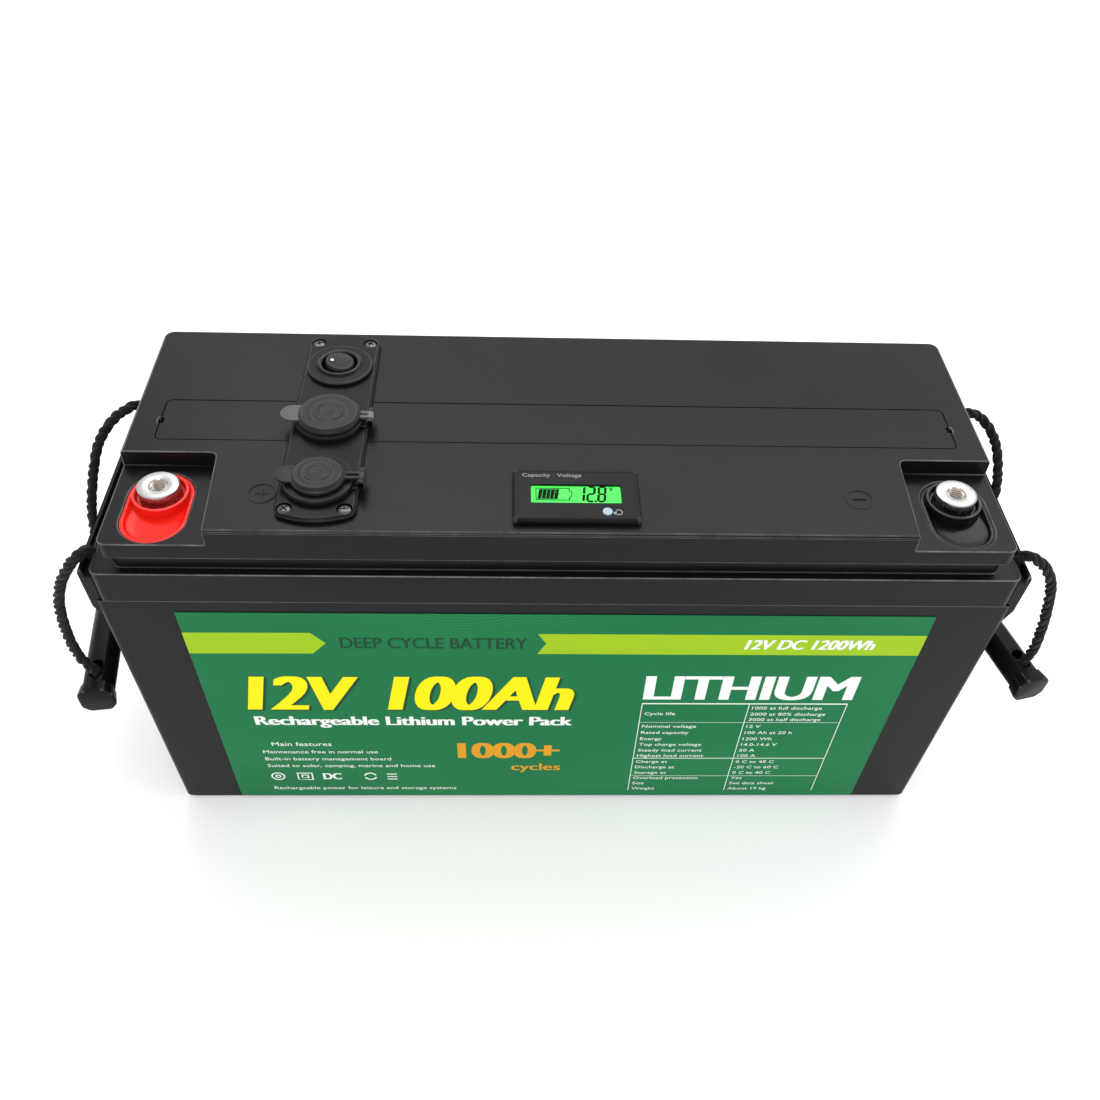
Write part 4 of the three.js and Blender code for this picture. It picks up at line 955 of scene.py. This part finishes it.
def make_cap(name, y, r, reach_left, plug_r, plug_depth, tab_look):
    """A round rubber cap of radius r with a plug below, a finger tab on the left and two hinge straps."""
    outer = [
        (0.5, 0), (0.1, 0.25), (0, 0.7), (0.05, 1.5), (0.35, 2.1), (1.9, 3.2), (2.3, 3.38), (2.8, 3.4),
        (3.3, 3.25), (3.8, 3.2),
    ]
    inner = [
        (0.62, 3.32), (0.585, 3.5), (0.55, 3.52), (0.51, 3.36), (0.3, 3.42), (0.27, 3.56), (0.235, 3.56),
        (0.2, 3.42), (0, 3.46),
    ]
    profile = [
        (0, -plug_depth), (plug_r - 0.4, -plug_depth), (plug_r, 0.4 - plug_depth), (plug_r, 0),
        *[(r - inset, z) for inset, z in outer], *[(r * share, z) for share, z in inner],
    ]
    parts = [turned("disc", [(x, CAP_BASE_Z + z) for x, z in profile], (PANEL_X, y), 96)]
    for start, end, size in ((115, 245, 0.44), (-62, 58, 0.42)):
        outline = arc(PANEL_X, y, r * size, start, end, 0.7)
        parts.append(bevel(prism("mark", outline, CAP_BASE_Z + 3.1, CAP_BASE_Z + 3.62), 0.15, 2))
    piece(joined(name + "_body", parts), "cap_rubber", name, name, angle=30)
    root, tip = PANEL_X - r + 3, PANEL_X - reach_left + TAB_HALF
    outline = [(root, y + TAB_HALF), *arc_points(tip, y, TAB_HALF, 90, 270), (root, y - TAB_HALF)]
    parts = [bevel(prism("tab", outline, CAP_BASE_Z + 0.8, CAP_BASE_Z + 2.6), 0.45, 3)]
    for low, high in ((y - CAP_HINGE_HALF, y - 0.75), (y + 0.75, y + CAP_HINGE_HALF)):
        corners = (PANEL_X + r - 3, low, CAP_BASE_Z + 0.3), (HINGE_X - 0.4, high, CAP_BASE_Z + 2.1)
        parts.append(block("strap", *corners, 0.3))
    parts.append(rod_y("knuckle", 1.85, y - CAP_HINGE_HALF, y + CAP_HINGE_HALF, HINGE_X, HINGE_Z, 32, 0.2))
    piece(joined(name + "_tabs", parts), tab_look, name, slot="cap_rubber")


make_switch()
make_sockets()
make_cap("socket_cap", SOCKET_Y, 16.8, 25.0, 9.6, 2.6, "tab_rubber")
make_cap("usb_cap", USB_Y, 13.8, 20.5, 10.6, 1.5, "cap_rubber")


# ---- lettering and artwork
SMALL_PRINT_WIDTH = 1.18
STRIKE_GAP = 0.45
INK_LIFT, INK_THICKNESS = 0.02, 0.05


def text_outline(words, detail):
    """A mesh of the words, one unit tall and one deep, in Blender's built-in typeface."""
    data = bpy.data.curves.new("text", "FONT")
    data.body = words
    data.size = 1.0
    data.resolution_u = detail
    data.extrude = 0.5
    holder = bpy.data.objects.new("text", data)
    bpy.context.collection.objects.link(holder)
    bpy.context.view_layer.update()
    mesh = bpy.data.meshes.new_from_object(holder.evaluated_get(bpy.context.evaluated_depsgraph_get()))
    bpy.data.objects.remove(holder)
    return mesh


CAPITAL = [v.co.y for v in text_outline("H", 1).vertices]
CAPITAL_LOW, CAPITAL_TALL = min(CAPITAL), max(CAPITAL) - min(CAPITAL)


class Print:
    """Ink on a surface. place(u, v, lift) turns artwork millimetres into the case's millimetres."""

    def __init__(self, place):
        self.place = place
        self.inks = {}

    def bm(self, ink):
        return self.inks.setdefault(ink, bmesh.new())

    def area(self, ink, outline, lift=INK_LIFT):
        bm = self.bm(ink)
        low = [bm.verts.new(self.place(u, v, lift)) for u, v in outline]
        high = [bm.verts.new(self.place(u, v, lift + INK_THICKNESS)) for u, v in outline]
        bm.faces.new(low)
        bm.faces.new(high[::-1])
        for i in range(len(low)):
            j = (i + 1) % len(low)
            bm.faces.new((low[j], low[i], high[i], high[j]))

    def bar(self, ink, u0, u1, v0, v1, lean=0.0):
        tilt = lean * (v1 - v0)
        self.area(ink, [(u0, v0), (u1, v0), (u1 + tilt, v1), (u0 + tilt, v1)])

    def words(self, ink, words, u0, u1, v0, v1, lean=0.0, bold=0.0, lift=INK_LIFT, detail=5):
        """Words stretched to fill a box; bold strikes them again, so many millimetres further right."""
        mesh = text_outline(words, detail)
        left = min(v.co.x for v in mesh.vertices)
        right = max(v.co.x for v in mesh.vertices)
        tall = (v1 - v0) / CAPITAL_TALL
        wide = (u1 - u0 - lean * (v1 - v0) - bold) / (right - left)
        strikes = math.ceil(bold / STRIKE_GAP) + 1
        bm = self.bm(ink)
        for strike in range(strikes):
            shift = bold * strike / max(1, strikes - 1)
            known = []
            for vert in mesh.vertices:
                x, y, z = vert.co
                v = v0 + (y - CAPITAL_LOW) * tall
                u = u0 + (x - left) * wide + lean * (v - v0) + shift
                height = lift + (INK_THICKNESS if z > 0 else 0) + 0.002 * strike
                known.append(bm.verts.new(self.place(u, v, height)))
            for face in mesh.polygons:
                bm.faces.new([known[i] for i in face.vertices])

    def line(self, words, u, v, size=2.9):
        """One line of small white print: size is the height of its capitals, its width follows."""
        xs = [vert.co.x for vert in text_outline(words, 2).vertices]
        width = (max(xs) - min(xs)) * size / CAPITAL_TALL * SMALL_PRINT_WIDTH
        self.words("white", words, u, u + width, v, v + size, detail=2)

    def make(self, prefix, slot, body):
        for ink, bm in self.inks.items():
            made = from_millimetres(f"{prefix}_{ink}", bm)
            made.data.shade_flat()
            hand_over(made, "ink_" + ink, body, slot=slot)


# ---- the label
def on_label(u, v, lift):
    """u runs along the case from its middle, v up from the ground; the front wall leans out a little."""
    return (u, -(83.0 + 0.6 * v / 190.6) - 0.45 - lift, v)


def make_signs(art):
    """A row of plain shapes below the small print: a target, a box in a box, two arcs and three bars."""
    v = 26.3
    for radius, width in ((3.9, 0.9), (1.5, 0.8)):
        art.area("white", arc(-173.0, v, radius, 0, 359.9, width))
    for half in (4.1, 1.9):
        ring, inner = [
            [(-156 + x * sx, v + y * sy) for sx, sy in ((-1, -1), (1, -1), (1, 1), (-1, 1))]
            for x, y in ((half * 1.2, half), (half * 1.2 - 0.8, half - 0.8))
        ]
        art.area("white", [*ring, ring[0], inner[0], *inner[:0:-1]])
    art.words("white", "DC", -144.8, -133.0, 22.9, 29.7, bold=0.8)
    for start in (20, 200):
        art.area("white", arc(-114.8, v, 3.6, start, start + 145, 1.1))
    for k in range(3):
        art.bar("white", -104.3, -98.0, 22.6 + 2.9 * k, 23.5 + 2.9 * k)


def make_table(art):
    left, split, right, top, bottom = 50.8, 114.0, 172.0, 104.6, 9.6
    art.bar("white", left, right, top - 0.5, top + 0.5)
    for u in (left, split, right):
        art.bar("white", u - 0.22, u + 0.22, bottom, top)
    for v, half in ((85.8, 0.12), (47.2, 0.3), (26.9, 0.15)):
        art.bar("white", left, right, v - half, v + half)
    art.line("Cycle life", 53.1, 93.2)
    for v, name, value in (
        (99.0, "", "1000 at full discharge"),
        (92.9, "", "2000 at 80% discharge"),
        (87.4, "", "3000 at half discharge"),
        (80.3, "Nominal voltage", "12 V"),
        (73.8, "Rated capacity", "100 Ah at 20 h"),
        (67.2, "Energy", "1200 Wh"),
        (61.0, "Top charge voltage", "14.0-14.6 V"),
        (54.7, "Steady load current", "50 A"),
        (48.7, "Highest load current", "100 A"),
        (41.9, "Charge at", "0 C to 45 C"),
        (35.7, "Discharge at", "-20 C to 60 C"),
        (29.3, "Storage at", "0 C to 40 C"),
        (23.0, "Overload protection", "Yes"),
        (16.8, "Size", "See data sheet"),
        (10.4, "Weight", "About 19 kg"),
    ):
        if name:
            art.line(name, 53.0, v)
        art.line(value, 116.3, v)


def make_label():
    art = Print(on_label)
    art.area("lime", [(-200.1, 149.2), (-133.6, 149.5), (-125.6, 158.3), (-132.8, 166.8), (-200.1, 166.5)])
    art.area("lime", [(-11.6, 150.0), (200.1, 149.9), (200.1, 166.9), (-11.6, 166.8), (-6.9, 158.8)])
    art.words("white", "12V DC 1200Wh", 101.6, 174.6, 154.9, 162.7, 0.2, 0.9, 0.08)
    art.words("dark", "DEEP CYCLE BATTERY", -118.0, -17.0, 154.2, 163.0, bold=0.5)
    for ink, du, dv, lift in (("dark", 1.5, -1.1, INK_LIFT), ("yellow", 0.0, 0.0, 0.08)):
        art.words(ink, "12V", -178.4 + du, -111.6 + du, 98.0 + dv, 128.9 + dv, 0.2, 4.4, lift)
        art.words(ink, "100Ah", -97.6 + du, 14.0 + du, 98.2 + dv, 129.2 + dv, 0.2, 4.4, lift)
    art.words("white", "Rechargeable Lithium Power Pack", -176.6, 10.8, 82.6, 91.1, bold=1.2)
    art.line("Main features", -171.0, 60.4, 3.9)
    for v, words in (
        (52.4, "Maintenance free in normal use"),
        (44.6, "Built-in battery management board"),
        (37.0, "Suited to solar, camping, marine and home use"),
        (11.0, "Rechargeable power for leisure and storage systems"),
    ):
        art.line(words, -177.6, v, 3.2)
    make_signs(art)
    art.words("orange", "1000+", -58.6, 4.4, 47.4, 63.6, bold=2.6)
    art.words("orange", "cycles", -25.5, 5.4, 33.7, 41.2, bold=0.5)
    art.words("white", "LITHIUM", 50.6, 173.6, 108.7, 130.6, bold=2.8)
    make_table(art)
    art.make("label_print", "label_film", CASE)


make_label()


# ---- charge display
DISPLAY_X, DISPLAY_Y = 6.0, -58.3
KEY_PLACE = (20.8, -70.8)


def make_bezel():
    def outline(inset):
        return rounded(31.6 - inset, 18.8 - inset, max(0.5, 2.0 - inset * 0.5), DISPLAY_X, DISPLAY_Y)

    bezel = stacked("display_housing_body", outline, (
        (0.5, 240.3), (0, 240.8), (0, 242.5), (0.35, 243.15), (0.9, 243.55), (1.5, 243.7), (2.0, 243.7),
        (2.25, 243.42), (2.6, 243.42),
    ))
    boolean(bezel, prism("skirt", rounded(28.2, 15.4, 1, DISPLAY_X, DISPLAY_Y), 226, 241.6), "UNION")
    boolean(bezel, prism("hollow", rounded(26.6, 13.8, 0.8, DISPLAY_X, DISPLAY_Y), 220, 241.7))
    boolean(bezel, prism("opening", rounded(22.7, 6.8, 1.0, 5.9, -57.7), 230, 260))
    drill(bezel, KEY_PLACE, 2.7, 230, 260, 48)
    bevel(bezel, 0.18, 2, 40)
    piece(bezel, "panel_plastic", CASE, "display_housing", even=True)


def make_gauge(lcd):
    """A battery outline, filled with five leaning bars."""
    left, right, low, high, tip = -14.0, 2.6, -61.5, -53.0, 3.8
    corners = [Vector(corner) for corner in (
        (left, low), (right, low), (right, -59.6), (tip, -59.0), (tip, -55.4), (right, -54.8),
        (right, high), (left, high),
    )]
    for start, end in zip(corners, corners[1:] + corners[:1]):
        along = (end - start).normalized() * 0.25
        across = Vector((-along.y, along.x))
        start, end = start - along, end + along
        lcd.area("lcd", [start - across, end - across, end + across, start + across])
    for k in range(5):
        lcd.bar("lcd", -13.4 + 2.05 * k, -11.55 + 2.05 * k, -60.8, -53.6, 0.14)


SEGMENTS = {
    "a": ((0, 2), (1, 2)), "b": ((1, 1), (1, 2)), "c": ((1, 0), (1, 1)), "d": ((0, 0), (1, 0)),
    "e": ((0, 0), (0, 1)), "f": ((0, 1), (0, 2)), "g": ((0, 1), (1, 1)),
}


def make_digits(lcd):
    """Seven-segment figures. A segment runs from one [column, row] to another."""
    half_tall, wide, lean, bottom, half_stroke = 5.3, 3.2, 0.09, -62.3, 0.65
    for left, lit in ((6.2, "bc"), (11.3, "abdeg"), (16.7, "abcdefg")):
        for name in lit:
            start, end = [Vector((column * wide, row * half_tall)) for column, row in SEGMENTS[name]]
            along = (end - start).normalized()
            across = Vector((along.y, -along.x)) * half_stroke
            tip, shoulder = along * 0.2, along * (0.5 if along.x else 0.6)
            flat = (
                start + tip, start + shoulder + across, end - shoulder + across,
                end - tip, end - shoulder - across, start + shoulder - across,
            )
            lcd.area("lcd", [(left + u + lean * v, bottom + v) for u, v in flat])
    lcd.bar("lcd", 14.95, 16.0, -62.8, -61.6)
    lcd.area("lcd", [
        (22.6, -51.9), (23.1, -51.9), (23.6, -53.6), (24.1, -51.9), (24.6, -51.9), (23.8, -54.6),
        (23.4, -54.6),
    ])


def make_display():
    make_bezel()
    key = turned("display_key_body", [
        (0, 239), (2.4, 239), (2.4, 243.8), (2.3, 244.05), (2.05, 244.2), (1.5, 244.15), (0, 244.05),
    ], KEY_PLACE, 48)
    piece(key, "key_plastic", "key", "display_key", angle=40)
    face = Print(lambda u, v, lift: (u, v, 243.42 + lift))
    face.words("grey", "Capacity   Voltage", -20.8, 9.0, -45.4, -42.9)
    face.area("grey", arc(26.2, -71.1, 1.75, -150, 130, 0.5))
    face.area("grey", [(23.4, -70.9), (25.6, -70.6), (24.2, -72.9)])
    face.make("display_print", "panel_plastic", CASE)
    lcd = Print(lambda u, v, lift: (u, v, 242.4 + lift))
    make_gauge(lcd)
    make_digits(lcd)
    lcd.make("lcd_print", "lcd_panel", CASE)


make_display()


# ---- grips
def cap_ring(scale, y):
    """The eight-sided outline of a grip's end cap, its corners eased and its sides drawn in a little."""
    corners = [Vector(corner) for corner in (
        (-9.9, -5.2), (-6.0, -9.4), (6.0, -9.4), (9.9, -5.2),
        (9.9, 5.2), (6.0, 9.4), (-6.0, 9.4), (-9.9, 5.2),
    )]
    ring = []
    for i, corner in enumerate(corners):
        for t in (-1.0, -0.5, 0.0, 0.5, 1.0):
            side = corners[(i + 1) % 8] if t > 0 else corners[i - 1]
            bent = corner.lerp(side, abs(t) * 0.12) * (1 - 0.035 * (1 - abs(t)))
            ring.append((bent.x * scale, y, bent.y * scale))
    return ring


def make_grip(name):
    handle = HANDLES[name]
    body = rod_y("body", 8.8, -47.0, 47.0, 0, 0, 56)
    boolean(body, rod_y("bore", 5.5, -46.0, 46.0, 0, 0, 32))
    for y in (-37.0, 37.0):
        boolean(body, prism("slot", stadium(0, 3.7, y - 6.9, y + 6.9), 0, 15))
    bevel(body, 0.4, 2, 40)
    sections = ((0.86, 46.0), (0.9, 46.3), (0.985, 52.6), (0.99, 53.2), (0.97, 53.7), (0.92, 54.0))
    caps = [loft("cap", [cap_ring(scale, end * y) for scale, y in sections]) for end in (-1, 1)]
    whole = placed(joined(name + "_grip_body", [body, *caps]), handle["grip"], handle["turn"])
    piece(whole, "grip_plastic", name + "_handle", name + "_grip", angle=38)


make_grip("left")
make_grip("right")

# ---- the CAD nodes that are shown as they are
for entry in frame["record"]["subparts"]:
    node = nodes[entry["node"]]
    if node.hide_render:
        continue
    look = MATERIALS[entry["material_slot"]]
    if not node.data.materials:
        node.data.materials.append(look)
    for material_slot in node.material_slots:
        material_slot.material = look
